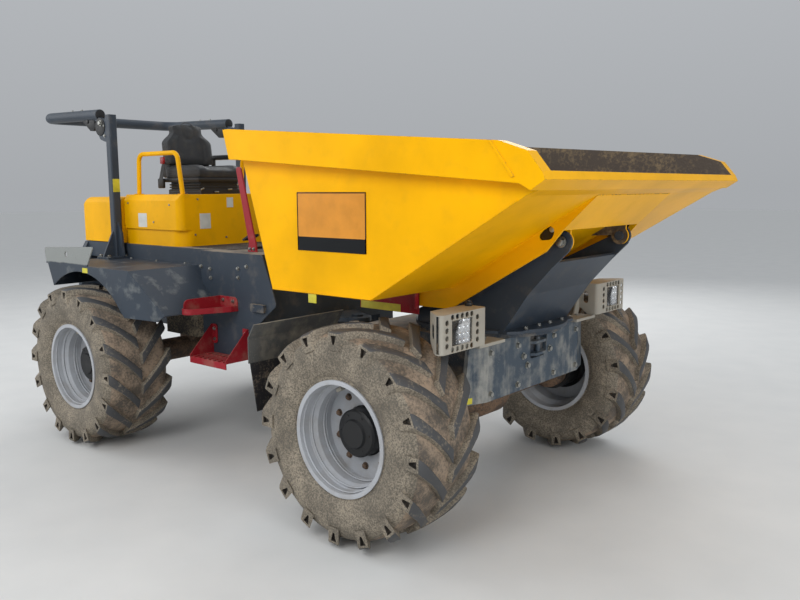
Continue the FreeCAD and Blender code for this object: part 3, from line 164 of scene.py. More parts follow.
def shaded(colour, share):
    """A darker tone of a linear colour."""
    return tuple(c * share for c in colour[:3]) + (1.0,)


# Heights in metres between which dust thins out upwards, and those at the foot of the
# rear fenders' upright wings, where a pale painted sky reflection begins.
DUST_TOP, DUST_FOOT = 1.5, 0.5
SHEEN_FOOT, SHEEN_FULL = 1.278, 1.292


def lying_dust_and_sheen(tree, place, normal, dust, flat_dust, streaks, sky_sheen):
    """Where dust gathers: low down, on top and in the runs that rain left; and where a pale painted sky
    reflection lies on the wings.
    """
    height = add_node(tree, "SeparateXYZ", {0: place}).outputs["Z"]
    upward = add_node(tree, "SeparateXYZ", {0: normal}).outputs["Z"]
    low = add_node(tree, "MapRange", {0: height, 1: DUST_TOP, 2: DUST_FOOT, 4: 0.16 * dust})
    up = add_node(tree, "MapRange", {0: upward, 1: 0.4, 2: 0.95, 4: 0.28 * dust * flat_dust})
    # Runs are 80 mm wide with finer ones in them, and lie in broad bands some 300 mm across.
    rain = add_node(tree, "Mapping", {"Vector": place, "Scale": (13, 13, 2.2)})
    runs = add_node(tree, "TexNoise", {"Vector": rain, "Scale": 1, "Detail": 8, "Roughness": 0.62})
    belt = add_node(tree, "Mapping", {"Vector": place, "Scale": (3, 3, 0.8)})
    bands = add_node(tree, "TexNoise", {"Vector": belt, "Scale": 1, "Detail": 2})
    runs = add_node(tree, "Math", {0: runs, 1: bands}, operation="MULTIPLY")
    wash = add_node(tree, "MapRange", {0: runs, 1: 0.20, 2: 0.36, 4: 0.38 * streaks})
    # A pale painted sky reflection covers the rear fenders' wings above this height.
    wing_sky_sheen = add_node(tree, "MapRange", {0: height, 1: SHEEN_FOOT, 2: SHEEN_FULL, 4: sky_sheen})
    dust_and_sheen = low
    for more in (up, wash, wing_sky_sheen):
        dust_and_sheen = add_node(tree, "Math", {0: dust_and_sheen, 1: more}, operation="ADD")
    return dust_and_sheen


def enamel(name, colour, soil, roughness, dust, chips, flat_dust=0.8, streaks=0, sky_sheen=0, shine=0.28):
    """Sprayed enamel on sheet steel: a faint orange peel, dust over it, and edges worn to a
    darker primer. Dust and streaks are shares of the paint that soil can hide, and so is the share given to a
    pale painted sky reflection on the fenders' wings."""
    tree, place, normal = begin(name)
    patches = add_node(tree, "TexNoise", {"Vector": place, "Scale": 2.4, "Detail": 4})
    cloud = add_node(tree, "TexNoise", {"Vector": place, "Scale": 9, "Detail": 9, "Roughness": 0.62})
    # Spatter is 6 mm across, and orange peel is drawn at 4 mm, coarser than life, to show at all.
    spatter = add_node(tree, "TexNoise", {"Vector": place, "Scale": 160, "Detail": 3})
    peel = add_node(tree, "TexNoise", {"Vector": place, "Scale": 250, "Detail": 1})
    dust_and_sheen = lying_dust_and_sheen(tree, place, normal, dust, flat_dust, streaks, sky_sheen)
    haze_and_sheen = add_node(tree, "Math", {0: cloud, 1: dust_and_sheen}, operation="ADD")
    most = min(0.95, 1.2 * dust + 0.3 * streaks + sky_sheen)
    film_and_sheen = add_node(tree, "MapRange", {0: haze_and_sheen, 1: 0.54, 2: 0.9, 4: most})
    grit = add_node(tree, "Math", {0: spatter, 1: dust_and_sheen}, operation="ADD")
    specks = add_node(tree, "MapRange", {0: grit, 1: 0.72, 2: 0.78, 4: 0.6 * dust})
    cover = add_node(tree, "Math", {0: film_and_sheen, 1: specks}, operation="MAXIMUM")
    tone = add_node(tree, "MapRange", {0: patches, 1: 0.3, 2: 0.7})
    base = add_node(tree, "Mix", {0: tone, 6: shaded(colour, 0.78), 7: colour}, data_type="RGBA")
    # The rounded normal leaves the flat one only within 4 mm of an edge, where paint wears.
    rounded = add_node(tree, "Bevel", {"Radius": 4 * MM}, samples=4)
    flat = add_node(tree, "NewGeometry").outputs["True Normal"]
    turn = add_node(tree, "VectorMath", {0: rounded, 1: flat}, operation="DOT_PRODUCT")
    edge = add_node(tree, "MapRange", {0: turn, 1: 0.97, 2: 0.75, 4: chips})
    scrape = add_node(tree, "TexNoise", {"Vector": place, "Scale": 38, "Detail": 6, "Roughness": 0.7})
    bare = add_node(tree, "Math", {0: scrape, 1: edge}, operation="ADD")
    worn = add_node(tree, "MapRange", {0: bare, 1: 0.74, 2: 0.80})
    primer = add_node(tree, "Mix", {0: worn, 6: base, 7: linear("#4C463E")}, data_type="RGBA")
    shade = add_node(tree, "Mix", {0: spatter, 6: soil, 7: shaded(soil, 0.7)}, data_type="RGBA")
    skin = add_node(tree, "Mix", {0: cover, 6: primer, 7: shade}, data_type="RGBA")
    gloss = add_node(tree, "MapRange", {0: cover, 3: roughness, 4: 0.88})
    relief = add_node(tree, "Math", {0: peel, 1: 0.12}, operation="MULTIPLY")
    relief = add_node(tree, "Math", {0: cover, 1: relief}, operation="ADD")
    close(tree, skin, gloss, relief, 0.6 * MM, rounded, Specular_IOR_Level=shine)


def caked(name, clean, soil, share, roughness=0.9, grain=90, depth=2, patchy=0.38):
    """Rubber or iron under dried soil, which lies in clouds some 140 mm across with crumbs
    in them. Grain is the crumbs to a metre, and depth the soil's in millimetres."""
    tree, place, _ = begin(name)
    cloud = add_node(tree, "TexNoise", {"Vector": place, "Scale": 7, "Detail": 8, "Roughness": 0.6})
    crumbs = add_node(tree, "TexNoise", {"Vector": place, "Scale": grain, "Detail": 6, "Roughness": 0.7})
    both = add_node(tree, "Mix", {0: 1 - patchy, 2: cloud, 3: crumbs}, data_type="FLOAT")
    cover = add_node(tree, "MapRange", {0: both, 1: 0.62 - 0.25 * share, 2: 0.74 - 0.25 * share})
    shade = add_node(tree, "MapRange", {0: cloud, 1: 0.3, 2: 0.7})
    dry = add_node(tree, "Mix", {0: shade, 6: shaded(soil, 0.6), 7: soil}, data_type="RGBA")
    skin = add_node(tree, "Mix", {0: cover, 6: clean, 7: dry}, data_type="RGBA")
    gloss = add_node(tree, "MapRange", {0: cover, 3: roughness - 0.3, 4: roughness})
    close(tree, skin, gloss, both, depth * MM)


def plain(name, hex_colour, roughness, grain=400, depth=0.3, tint=0.85, **constants):
    """Moulded, plated or printed surface with a fine grain, 0.3 mm deep, and a slight change
    of tone over hands' breadths. The default grain is drawn at 2.5 mm, coarser than life."""
    tree, place, _ = begin(name)
    colour = linear(hex_colour)
    fine = add_node(tree, "TexNoise", {"Vector": place, "Scale": grain, "Detail": 3})
    broad = add_node(tree, "TexNoise", {"Vector": place, "Scale": 12, "Detail": 5})
    tone = add_node(tree, "MapRange", {0: broad, 1: 0.35, 2: 0.65})
    skin = add_node(tree, "Mix", {0: tone, 6: shaded(colour, tint), 7: colour}, data_type="RGBA")
    gloss = add_node(tree, "MapRange", {0: broad, 1: 0.3, 2: 0.7, 3: roughness * 0.85, 4: roughness * 1.15})
    close(tree, skin, gloss, fine, depth * MM, **constants)


def vinyl(name):
    """Embossed seat vinyl: pores of 3 mm, drawn twice their real size, and a dull sheen."""
    tree, place, _ = begin(name)
    pores = add_node(tree, "TexVoronoi", {"Vector": place, "Scale": 330}, feature="DISTANCE_TO_EDGE")
    deep = add_node(tree, "MapRange", {0: pores, 2: 0.12})
    broad = add_node(tree, "TexNoise", {"Vector": place, "Scale": 16, "Detail": 6})
    dusty = add_node(tree, "MapRange", {0: broad, 1: 0.5, 2: 0.8, 4: 0.3})
    skin = add_node(tree, "Mix", {0: dusty, 6: linear("#1B1D20"), 7: linear("#6B655B")}, data_type="RGBA")
    gloss = add_node(tree, "MapRange", {0: dusty, 2: 0.3, 3: 0.42, 4: 0.8})
    close(tree, skin, gloss, deep, 0.4 * MM)


def levelled_floor(name):
    """Pale power-floated concrete: wide clouds, a grain of 6 mm and next to no shine."""
    tree, place, _ = begin(name)
    cloud = add_node(tree, "TexNoise", {"Vector": place, "Scale": 3, "Detail": 6})
    grain = add_node(tree, "TexNoise", {"Vector": place, "Scale": 180, "Detail": 3})
    skin = add_node(tree, "Mix", {0: cloud, 6: linear("#CBCCCB"), 7: linear("#D8D8D6")}, data_type="RGBA")
    gloss = add_node(tree, "MapRange", {0: cloud, 3: 0.7, 4: 0.9})
    close(tree, skin, gloss, grain, 0.5 * MM)


class DUMPER_OT_finishes(Operator):
    """Mixes the finishes and gives one to every piece that comes from the part"""
    bl_idname = "dumper.finishes"
    bl_label = "Finishes"

    # The CAD pieces that wear each finish, with the sides' endings left out.
    DRESS = by_member({
        "yellow_enamel": "skip skip_keel hoop_rails",
        "yellow_panel": "bonnet seat_box",
        "slate_enamel": "rear_frame tail_panel rops_posts rops_top swivel_frame tip_ram_barrel",
        "fender_enamel": "rear_fender",
        "dusty_plate": "deck front_frame",
        "smeared_plate": "bumper",
        "guard_plate": "front_fender",
        "guard_steel": "headlight",
        "red_enamel": "handrails steps",
        "muddy_casting": "rear_axle front_axle",
        "cast_iron": "engine_block steering_barrel",
        "chrome_rod": "tip_ram_rod steering_rod",
        "moulded_black": "console seat_base steering_wheel",
        "seat_vinyl": "seat_cushion seat_backrest",
        "dusty_tank": "fuel_tank",
        "carcass_rubber": "tyre",
        "rim_enamel": "rim",
        "hub_black": "hub",
    })
    ENDINGS = ["_" + corner[0] for corner in CORNERS] + ["_" + side[0] for side in SIDES]
    # Height of the bent foot of a front mudguard's plate, in metres.
    FLAP_TOP = 0.859

    def execute(self, context):
        colours = context.scene.dumper_colours
        self.paint(colours, context.scene.dumper_sizes.dust_level)
        self.cake(colours)
        self.mould()
        self.plate_and_glaze()
        for name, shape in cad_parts.items():
            stem = name
            for ending in self.ENDINGS:
                stem = stem.removesuffix(ending)
            shape.data.materials.clear()
            shape.data.materials.append(FINISHES[self.DRESS[stem]])
        self.line_skip()
        self.hang_flaps()
        return {"FINISHED"}

    def paint(self, colours, dust):
        yellow, slate, soil = tuple(colours.yellow), tuple(colours.slate), tuple(colours.dust)
        # The skip's enamel is bright and dry, with a thin tan dust and scraped edges.
        enamel("yellow_enamel", yellow, linear("#A5802F"), roughness=0.36, dust=0.3 * dust, chips=0.26,
               flat_dust=0.3, shine=0.1)
        # The bonnet and seat box are moulded glass fibre with a gel coat, duller than enamel.
        enamel("yellow_panel", yellow, linear("#A07A34"), roughness=0.42, dust=0.5 * dust, chips=0.12,
               shine=0.12)
        # Slate enamel looks blue and satin, and greys towards the wheels.
        enamel("slate_enamel", slate, soil, roughness=0.45, dust=0.45 * dust, chips=0.15, flat_dust=0.25)
        # The wing that stands up on each rear fender has a pale painted sky reflection, in the same colour as
        # its dust.
        enamel("fender_enamel", slate, linear("#A9ACA8"), roughness=0.45, dust=0.35 * dust, chips=0.15,
               flat_dust=0.25, sky_sheen=0.55)
        # Boots and tyres keep the deck and the front frame dusty all over.
        enamel("dusty_plate", slate, soil, roughness=0.6, dust=1.9 * dust, chips=0.25)
        # Rain has run down the bumper and left pale streaks.
        enamel("smeared_plate", linear("#404C58"), linear("#ABAAA3"), roughness=0.45, dust=0.8 * dust,
               chips=0.3, streaks=1)
        # The red of steps and rails is scuffed dull.
        enamel("red_enamel", tuple(colours.red), soil, roughness=0.4, dust=0.9 * dust, chips=0.25)
        # Silver rims shine softly between splashes.
        enamel("rim_enamel", tuple(colours.rim), tuple(colours.mud), roughness=0.38, dust=0.8 * dust,
               chips=0.15)
        # Galvanised lamp guards are pale and matt, and the mudguards' plates are nearly hidden.
        enamel("guard_steel", linear("#A8A499"), linear("#B2AB9E"), roughness=0.6, dust=1.4 * dust,
               chips=0.2)
        enamel("guard_plate", linear("#5C5D5C"), linear("#9E9889"), roughness=0.7, dust=1.9 * dust,
               chips=0.3)

    def cake(self, colours):
        # Bare plate inside the skip: paint is gone, and damp soil and rust stay in a film.
        caked("soiled_steel", linear("#4A3F35"), linear("#88755A"), 0.55, grain=45, depth=5, patchy=0.5)
        # Sand-cast iron is dark and rough. The axles' housings are all but brown with mud.
        caked("cast_iron", linear("#2A2B2D"), linear("#6B6154"), 0.15, roughness=0.75, depth=1)
        caked("muddy_casting", linear("#3D332B"), linear("#7F6550"), 0.75, grain=70)
        # Vulcanised rubber is matt: pale with dry mud on the walls and between the bars, dark with painted
        # shade in the hollows, and darkest and smoothest on top of the bars, where the ground cleans it.
        caked("carcass_rubber", linear("#5B554B"), linear("#9C9180"), 0.7, roughness=0.95, grain=110,
              patchy=0.22)
        caked("tread_floor", linear("#524B43"), linear("#9C8A77"), 0.75, roughness=0.95, grain=70,
              patchy=0.5)
        # The hollows' rubber is darkened as painted shade.
        caked("slot_shaded_rubber", linear("#2B2723"), linear("#564C41"), 0.5, roughness=0.95)
        caked("tread_rubber", tuple(colours.rubber), linear("#857C6E"), 0.3, roughness=0.85, grain=50,
              depth=1)
        # The flaps' sheet rubber and the tank's moulded plastic show through a dry film.
        caked("flap_rubber", linear("#26262A"), linear("#8B8070"), 0.45, roughness=0.85, depth=1)
        caked("dusty_tank", linear("#3A3733"), linear("#A2937D"), 0.7)

    def mould(self):
        # Black nylon, hose and stove enamel are near black with a soft gloss, a screen is glassy.
        plain("hub_black", "#131416", 0.5, depth=0.2)
        plain("moulded_black", "#1D1E20", 0.55)
        plain("hose_rubber", "#17181A", 0.6, grain=600)
        plain("screen_black", "#0B0D10", 0.12, depth=0)
        # Printed vinyl film is flat and even, and blank: nothing is written on it.
        plain("label_sheet", "#D9DAD3", 0.4)
        plain("tag_sheet", "#D9CE3C", 0.4, tint=0.7)
        plain("sign_orange", "#D98E22", 0.35, grain=20)
        # Piping is a smooth cord of vinyl round the embossed cover, grey as a painted highlight on its round.
        plain("piping_highlight_grey", "#46484C", 0.5)
        vinyl("seat_vinyl")

    def plate_and_glaze(self):
        # Zinc plating is a bright grey metal, and hard chrome has next to no grain.
        plain("zinc_steel", "#A9A9A4", 0.4, Metallic=1)
        plain("chrome_rod", "#D6D8DA", 0.12, depth=0.02, tint=0.97, Metallic=1)
        # Vacuum-coated cups glitter, behind clear glass and tinted acrylic lenses.
        plain("lamp_mirror", "#F4F6F8", 0.24, grain=120, depth=1, Metallic=1)
        plain("glass_cover", "#FFFFFF", 0.05, depth=0, Transmission_Weight=1, IOR=1.5)
        plain("lens_red", "#B0121A", 0.18, grain=250, depth=1, Transmission_Weight=0.4)
        plain("lens_amber", "#E07A10", 0.18, grain=250, depth=1, Transmission_Weight=0.4)

    def line_skip(self):
        """The tub's inner faces, all but its folded edge's, are bare and soiled."""
        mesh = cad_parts["skip"].data
        mesh.materials.append(FINISHES["soiled_steel"])
        low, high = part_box("skip")
        wall, edge_band, sight_depth = 0.02, 0.4, 0.1
        centre = Vector(((low.x + high.x) / 2, 0, high.z - sight_depth))
        for face in mesh.polygons:
            inward = (centre - face.center).dot(face.normal) > 0
            edge = face.center.z > high.z - edge_band and abs(face.center.y) > high.y - wall
            if inward and not edge:
                face.material_index = 1

    def hang_flaps(self):
        """Below its bent plate each front mudguard is a rubber flap."""
        for side, _ in SIDES:
            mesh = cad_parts["front_fender_" + side].data
            mesh.materials.append(FINISHES["flap_rubber"])
            for face in mesh.polygons:
                if face.center.z < self.FLAP_TOP:
                    face.material_index = 1


# Shapes

def soften(bm, edges, offset):
    """Rounds edges off in two steps."""
    bmesh.ops.bevel(bm, geom=list(edges), offset=offset, segments=2, affect="EDGES", profile=0.5, material=-1)


def block(bm, x0, x1, y0, y1, z0, z1, soft=0):
    """Box between two corners, with rounded edges where soft is given."""
    size = Vector((x1 - x0, y1 - y0, z1 - z0))
    spot = Matrix.Translation(Vector((x0, y0, z0)) + size / 2) @ Matrix.Diagonal((*size, 1))
    verts = bmesh.ops.create_cube(bm, size=1, matrix=spot)["verts"]
    if soft:
        soften(bm, {edge for vert in verts for edge in vert.link_edges}, soft)


def turn_to(direction):
    """Rotation that takes the Z axis to a direction."""
    return Vector(direction).to_track_quat("Z", "Y").to_matrix().to_4x4()


def bar(bm, start, end, radius, segments=24, soft=0, tip=None):
    """Round bar between two points, or a cone where the tip has its own radius."""
    start, end = Vector(start), Vector(end)
    spot = Matrix.Translation((start + end) / 2) @ turn_to(end - start)
    verts = bmesh.ops.create_cone(bm, cap_ends=True, segments=segments, radius1=radius,
                                  radius2=radius if tip is None else tip,
                                  depth=(end - start).length, matrix=spot)["verts"]
    if soft:
        soften(bm, {edge for vert in verts for edge in vert.link_edges
                    if any(len(face.verts) == segments for face in edge.link_faces)}, soft)


def slab(bm, corners, way, soft=0):
    """Flat outline pushed along a vector."""
    face = bm.faces.new([bm.verts.new(corner) for corner in corners])
    pushed = bmesh.ops.extrude_face_region(bm, geom=[face])["geom"]
    verts = [item for item in pushed if isinstance(item, bmesh.types.BMVert)]
    bmesh.ops.translate(bm, verts=verts, vec=way)
    sides = {f for vert in verts for f in vert.link_faces} | {face}
    bmesh.ops.recalc_face_normals(bm, faces=list(sides))
    if soft:
        soften(bm, {edge for f in sides for edge in f.edges}, soft)


def upright(y, *outline):
    """Corners of an outline of (x, z) points in a plane at a distance from the middle."""
    return [(x, y, z) for x, z in outline]


def turned(bm, outline, centre, axis, steps):
    """Spins an outline of (radius, height) points about an axis through a centre."""
    spot = Matrix.Translation(centre) @ turn_to(axis)
    verts = [bm.verts.new(spot @ Vector((radius, 0, height))) for radius, height in outline]
    edges = [bm.edges.new(pair) for pair in zip(verts, verts[1:])]
    bmesh.ops.spin(bm, geom=verts + edges, cent=centre, axis=axis, angle=math.tau, steps=steps,
                   use_merge=True)
    bmesh.ops.remove_doubles(bm, verts=bm.verts[:], dist=0.05)
    bmesh.ops.recalc_face_normals(bm, faces=bm.faces[:])


def hexagon_bolt(bm, point, axis, across, washer=True):
    """Bolt head on its washer, standing on a surface."""
    point, axis = Vector(point), Vector(axis).normalized()
    thick = across * 0.12 if washer else 0
    if washer:
        bar(bm, point - axis, point + axis * thick, across * 0.78, 16)
    bar(bm, point, point + axis * (thick + across * 0.5), across * 0.577, 6, across * 0.05)


def around(turn, radius, out):
    """Point on a wheel's circle, turned from its top, at a distance out from its middle."""
    return Vector((math.sin(turn) * radius, out, math.cos(turn) * radius))


def ring(count, radius, x, y):
    """Points evenly spaced on a level circle."""
    turns = [math.tau * number / count for number in range(count)]
    return [(x + radius * math.cos(turn), y + radius * math.sin(turn)) for turn in turns]


def both_sides(bm):
    """Repeats everything on the other side of the machine."""
    copied = bmesh.ops.duplicate(bm, geom=bm.verts[:] + bm.edges[:] + bm.faces[:])["geom"]
    for vert in (item for item in copied if isinstance(item, bmesh.types.BMVert)):
        vert.co.y = -vert.co.y
    bmesh.ops.reverse_faces(bm, faces=[item for item in copied if isinstance(item, bmesh.types.BMFace)])


def to_mesh(name, bm):
    mesh = bpy.data.meshes.new(name)
    bm.to_mesh(mesh)
    bm.free()
    return mesh


def fit(name, mesh, finishes, body):
    """Makes a smooth object of a mesh, in its finishes, on a body."""
    for finish in finishes:
        mesh.materials.append(FINISHES[finish])
    mesh.polygons.foreach_set("use_smooth", [True] * len(mesh.polygons))
    made = bpy.data.objects.new(name, mesh)
    bpy.context.scene.collection.objects.link(made)
    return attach(made, body)


def finish_piece(name, bm, finishes, body, angle=35):
    """Brings a shape to its place in metres and fits it, with edges sharp above an angle."""
    bmesh.ops.transform(bm, matrix=PLACE, verts=bm.verts[:])
    made = fit(name, to_mesh(name, bm), finishes, body)
    made.data.set_sharp_from_angle(angle=math.radians(angle))
    return made


def piece(name, finish, body, *shapes, mirrored=False, angle=35):
    """One piece of several shapes, each given as a function and what follows its mesh."""
    bm = bmesh.new()
    for make, *sizes in shapes:
        make(bm, *sizes)
    if mirrored:
        both_sides(bm)
    return finish_piece(name, bm, [finish], body, angle)


def tube_piece(name, points, radius, finish, body):
    """Hose or pipe along a smooth line through the space between its points."""
    curve = bpy.data.curves.new(name, "CURVE")
    curve.dimensions = "3D"
    curve.bevel_depth = radius * MM
    curve.bevel_resolution = 4
    curve.resolution_u = 10
    curve.use_fill_caps = True
    line = curve.splines.new("NURBS")
    line.points.add(len(points) - 1)
    for spot, point in zip(line.points, points):
        spot.co = (*(PLACE @ Vector(point)), 1)
    line.order_u = 3
    line.use_endpoint_u = True
    shape = bpy.data.objects.new(name + "_line", curve)
    bpy.context.scene.collection.objects.link(shape)
    mesh = bpy.data.meshes.new_from_object(shape.evaluated_get(bpy.context.evaluated_depsgraph_get()))
    bpy.data.objects.remove(shape)
    mesh.name = name
    mesh.materials.clear()
    return fit(name, mesh, [finish], body)


def swell(cover, cap):
    """Stuffs a cover by a short cloth run, and keeps each point within the cap."""
    if cap <= 0:
        return
    rest = [vert.co.copy() for vert in cover.data.vertices]
    cloth = cover.modifiers.new("stuffing", "CLOTH")
    cloth.settings.use_pressure = True
    cloth.settings.uniform_pressure_force = 4
    cloth.settings.effector_weights.gravity = 0
    for number in range(1, 16):
        bpy.context.scene.frame_set(number)
    blown = cover.evaluated_get(bpy.context.evaluated_depsgraph_get())
    moved = [vert.co.copy() for vert in blown.data.vertices]
    cover.modifiers.remove(cloth)
    for vert, start, end in zip(cover.data.vertices, rest, moved):
        step = end - start
        vert.co = start + (step if step.length < cap * MM else step.normalized() * cap * MM)
    bpy.context.scene.frame_set(1)


# Pieces

def wheels():
    """Each wheel's name and side, its tyre's middle across, and its place along the middle."""
    for name, along, side in CORNERS:
        low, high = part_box("tyre_" + name)
        yield name, side, (low.y + high.y) / 2 / MM, Vector((along * WHEELBASE, 0, AXLE_Z))


class DUMPER_OT_tyres(Operator):
    """Builds the bar-tread tyres over the part's plain ones"""
    bl_idname = "dumper.tyres"
    bl_label = "Tyres"

    # Radius and distance from the tyre's middle, from the bead to the tread's centre.
    WALL = [(288, 202.5), (303, 205.5), (313, 206), (318, 212), (340, 224), (372, 234), (410, 240),
            (440, 240.5), (468, 236), (492, 226), (512, 209), (523, 186), (528, 150), (530, 80), (531, 0)]
    # Stations of a bar, from the tread's middle to the wall: distance out, run along the
    # tread, radius of its foot and top, and half its width.
    BAR = [(6, 128, 500, 565, 25), (50, 84, 500, 566, 24), (100, 34, 498, 566, 24), (150, -12, 495, 564, 25),
           (195, -52, 485, 560, 28), (228, -82, 468, 556, 31), (246, -98, 455, 541, 30)]
    # The bar height that the stations are drawn for, and the radius that runs are measured at.
    DRAWN_HEIGHT, RUN_RADIUS = 38, 560
    # Radii beyond which the carcass is the tread's floor, a bar's edges are its crown's and its
    # faces are worn clean.
    FLOOR_RADIUS, CROWN_RADIUS, CLEAN_RADIUS = 508, 515, 535
    # The hollow in a bar's end: radius of its foot and of what counts as low, and its depth.
    HOLLOW_FOOT, HOLLOW_LOW, HOLLOW_DEPTH = 483, 500, 17
    FINISHES = ["carcass_rubber", "tread_rubber", "tread_floor", "slot_shaded_rubber"]
    CARCASS, TREAD, FLOOR, SLOT = range(4)

    def lug(self, height):
        """One bar about the top of the tyre, with a wedge-shaped hollow in its end."""
        bm = bmesh.new()
        block(bm, -0.5, 0.5, 0, 1, -0.5, 0.5)
        spans = len(self.BAR) - 1
        long_edges = [edge for edge in bm.edges if abs(edge.verts[0].co.y - edge.verts[1].co.y) > 0.5]
        bmesh.ops.subdivide_edges(bm, edges=long_edges, cuts=spans - 1, use_grid_fill=True)
        for vert in bm.verts:
            out, run, foot, top, half = self.BAR[round(vert.co.y * spans)]
            # A bar widens towards its foot, and its inner end is cut on the slant.
            draft = 5 if vert.co.z < 0 else 0
            slant = 0.35 * half if out < 20 and vert.co.x > 0 else 0
            along = run + vert.co.x * 2 * (half * 1.25 + draft) + slant
            radius = foot if vert.co.z < 0 else foot + (top - foot) * (height / self.DRAWN_HEIGHT)
            vert.co = around(along / self.RUN_RADIUS, radius, out)
        crown = [edge for edge in bm.edges
                 if all(vert.co.xz.length > self.CROWN_RADIUS for vert in edge.verts)
                 and len(edge.link_faces) == 2 and edge.calc_face_angle(0) > 0.7]
        soften(bm, crown, 5)
        self.hollow_out(bm)
        bmesh.ops.recalc_face_normals(bm, faces=bm.faces[:])
        return to_mesh("bar", bm)

    def hollow_out(self, bm):
        """Sinks a wedge, narrow at its foot, into the outermost face of a bar."""
        end = max(bm.faces, key=lambda face: face.calc_center_median().y)
        bmesh.ops.inset_individual(bm, faces=[end], thickness=8)
        middle_turn = sum(math.atan2(vert.co.x, vert.co.z) for vert in end.verts) / len(end.verts)
        for vert in end.verts:
            low = vert.co.xz.length < self.HOLLOW_LOW
            turn = middle_turn + (math.atan2(vert.co.x, vert.co.z) - middle_turn) * (0.2 if low else 0.62)
            vert.co = around(turn, self.HOLLOW_FOOT if low else vert.co.xz.length - 2, vert.co.y)
        bmesh.ops.inset_individual(bm, faces=[end], thickness=1.5)
        bmesh.ops.translate(bm, verts=end.verts[:], vec=(0, -self.HOLLOW_DEPTH, 0))
        # Faces of the hollow take the rubber darkened as painted shade.
        for face in {face for vert in end.verts for face in vert.link_faces}:
            face.material_index = self.SLOT

    def carcass(self):
        """The tyre without its bars, closed inside across the rim."""
        bm = bmesh.new()
        outline = self.WALL + [(radius, -out) for radius, out in reversed(self.WALL[:-1])] + [self.WALL[0]]
        turned(bm, outline, (0, 0, 0), (0, 1, 0), 96)
        for face in bm.faces:
            if face.calc_center_median().xz.length > self.FLOOR_RADIUS:
                face.material_index = self.FLOOR
        return to_mesh("carcass", bm)

    def tyre(self, shell, lug, count):
        """The carcass with its bars, set left and right in turn."""
        bm = bmesh.new()
        bm.from_mesh(shell)
        carcass = len(bm.faces)
        for number in range(2 * count):
            before = len(bm.verts)
            bm.from_mesh(lug)
            bm.verts.ensure_lookup_table()
            fresh = bm.verts[before:]
            if number % 2:
                for vert in fresh:
                    vert.co.y = -vert.co.y
                bmesh.ops.reverse_faces(bm, faces=list({face for vert in fresh for face in vert.link_faces}))
            spot = Matrix.Rotation(math.pi * (number + 1) / count, 4, "Y")
            bmesh.ops.transform(bm, matrix=spot, verts=fresh)
        bm.faces.ensure_lookup_table()
        for face in bm.faces[carcass:]:
            centre = face.calc_center_median()
            outward = Vector((centre.x, 0, centre.z)).normalized()
            on_top = centre.xz.length > self.CLEAN_RADIUS and face.normal.dot(outward) > 0.5
            if face.material_index == self.CARCASS and on_top:
                face.material_index = self.TREAD
        return bm

    def execute(self, context):
        sizes = context.scene.dumper_sizes
        lug = self.lug(sizes.lug_height)
        shell = self.carcass()
        for corner, side, middle_y, hub in wheels():
            bm = self.tyre(shell, lug, sizes.lug_count)
            if side < 0:
                bmesh.ops.scale(bm, vec=(1, -1, 1), verts=bm.verts[:])
                bmesh.ops.reverse_faces(bm, faces=bm.faces[:])
            bmesh.ops.translate(bm, verts=bm.verts[:], vec=hub + Vector((0, middle_y, 0)))
            made = finish_piece("tread_" + corner, bm, self.FINISHES, "wheel_" + corner)
            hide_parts("tyre_" + corner)
        bpy.data.meshes.remove(lug)
        bpy.data.meshes.remove(shell)
        return {"FINISHED"}


class DUMPER_OT_wheel_fittings(Operator):
    """Adds wheel nuts, valves, the rims' rolled steps and the hubs' cover screws"""
    bl_idname = "dumper.wheel_fittings"
    bl_label = "Wheel fittings"

    # Rolled steps inside a rim: radius, distance from the tyre's middle and height.
    ROLLS = [(278, 186, 5), (268, 138, 5), (253, 62, 5), (253, 44, 4)]
    # Distance from the tyre's middle to the disc's face, the hub's cover and the valve's foot.
    DISC_OUT, COVER_OUT, VALVE_OUT = 12, 89, 92
    VALVE_TURN = -0.42

    def fixings(self, hub, side, y, radius, count, first, size, washer):
        """Nuts or screws in a ring about the axle, the first one part of a step from the top."""
        bm = bmesh.new()
        for number in range(count):
            spot = hub + around(math.tau * (number + first) / count, radius, y)
            hexagon_bolt(bm, spot, (0, side, 0), size, washer)
        return bm

    def rolls(self, hub, side, middle_y):
        bm = bmesh.new()
        for radius, out, rise in self.ROLLS:
            outline = [(radius, out - 7), (radius - rise, out - 3), (radius - rise, out + 3),
                       (radius, out + 7), (radius + 2, out), (radius, out - 7)]
            turned(bm, outline, hub + Vector((0, middle_y, 0)), (0, side, 0), 72)
        return bm

    def valve(self, hub, y):
        """The valve's stem under its guard, between two wheel nuts."""
        bm = bmesh.new()
        block(bm, -20, 20, -16, 16, 226, 246, 4)
        bar(bm, (0, 0, 238), (0, 44, 238), 7, 16, 1.5)
        aim = Matrix.Translation(hub + Vector((0, y, 0))) @ Matrix.Rotation(self.VALVE_TURN, 4, "Y")
        bmesh.ops.transform(bm, matrix=aim, verts=bm.verts[:])
        return bm

    def execute(self, context):
        for corner, side, middle_y, hub in wheels():
            body = "wheel_" + corner
            nuts = self.fixings(hub, side, middle_y + side * self.DISC_OUT, 192, 10, 0, 25, True)
            finish_piece("wheel_nuts_" + corner, nuts, ["muddy_casting"], body)
            finish_piece("rim_rolls_" + corner, self.rolls(hub, side, middle_y), ["rim_enamel"], body, 50)
            valve = self.valve(hub, middle_y + side * self.VALVE_OUT)
            finish_piece("valve_" + corner, valve, ["guard_steel"], body)
            screws = self.fixings(hub, side, middle_y + side * self.COVER_OUT, 96, 6, 0.5, 10, False)
            finish_piece("hub_screws_" + corner, screws, ["hub_black"], body)
        return {"FINISHED"}


# A pad is shaped in its own space, from -1 to 1 along each of its sides.

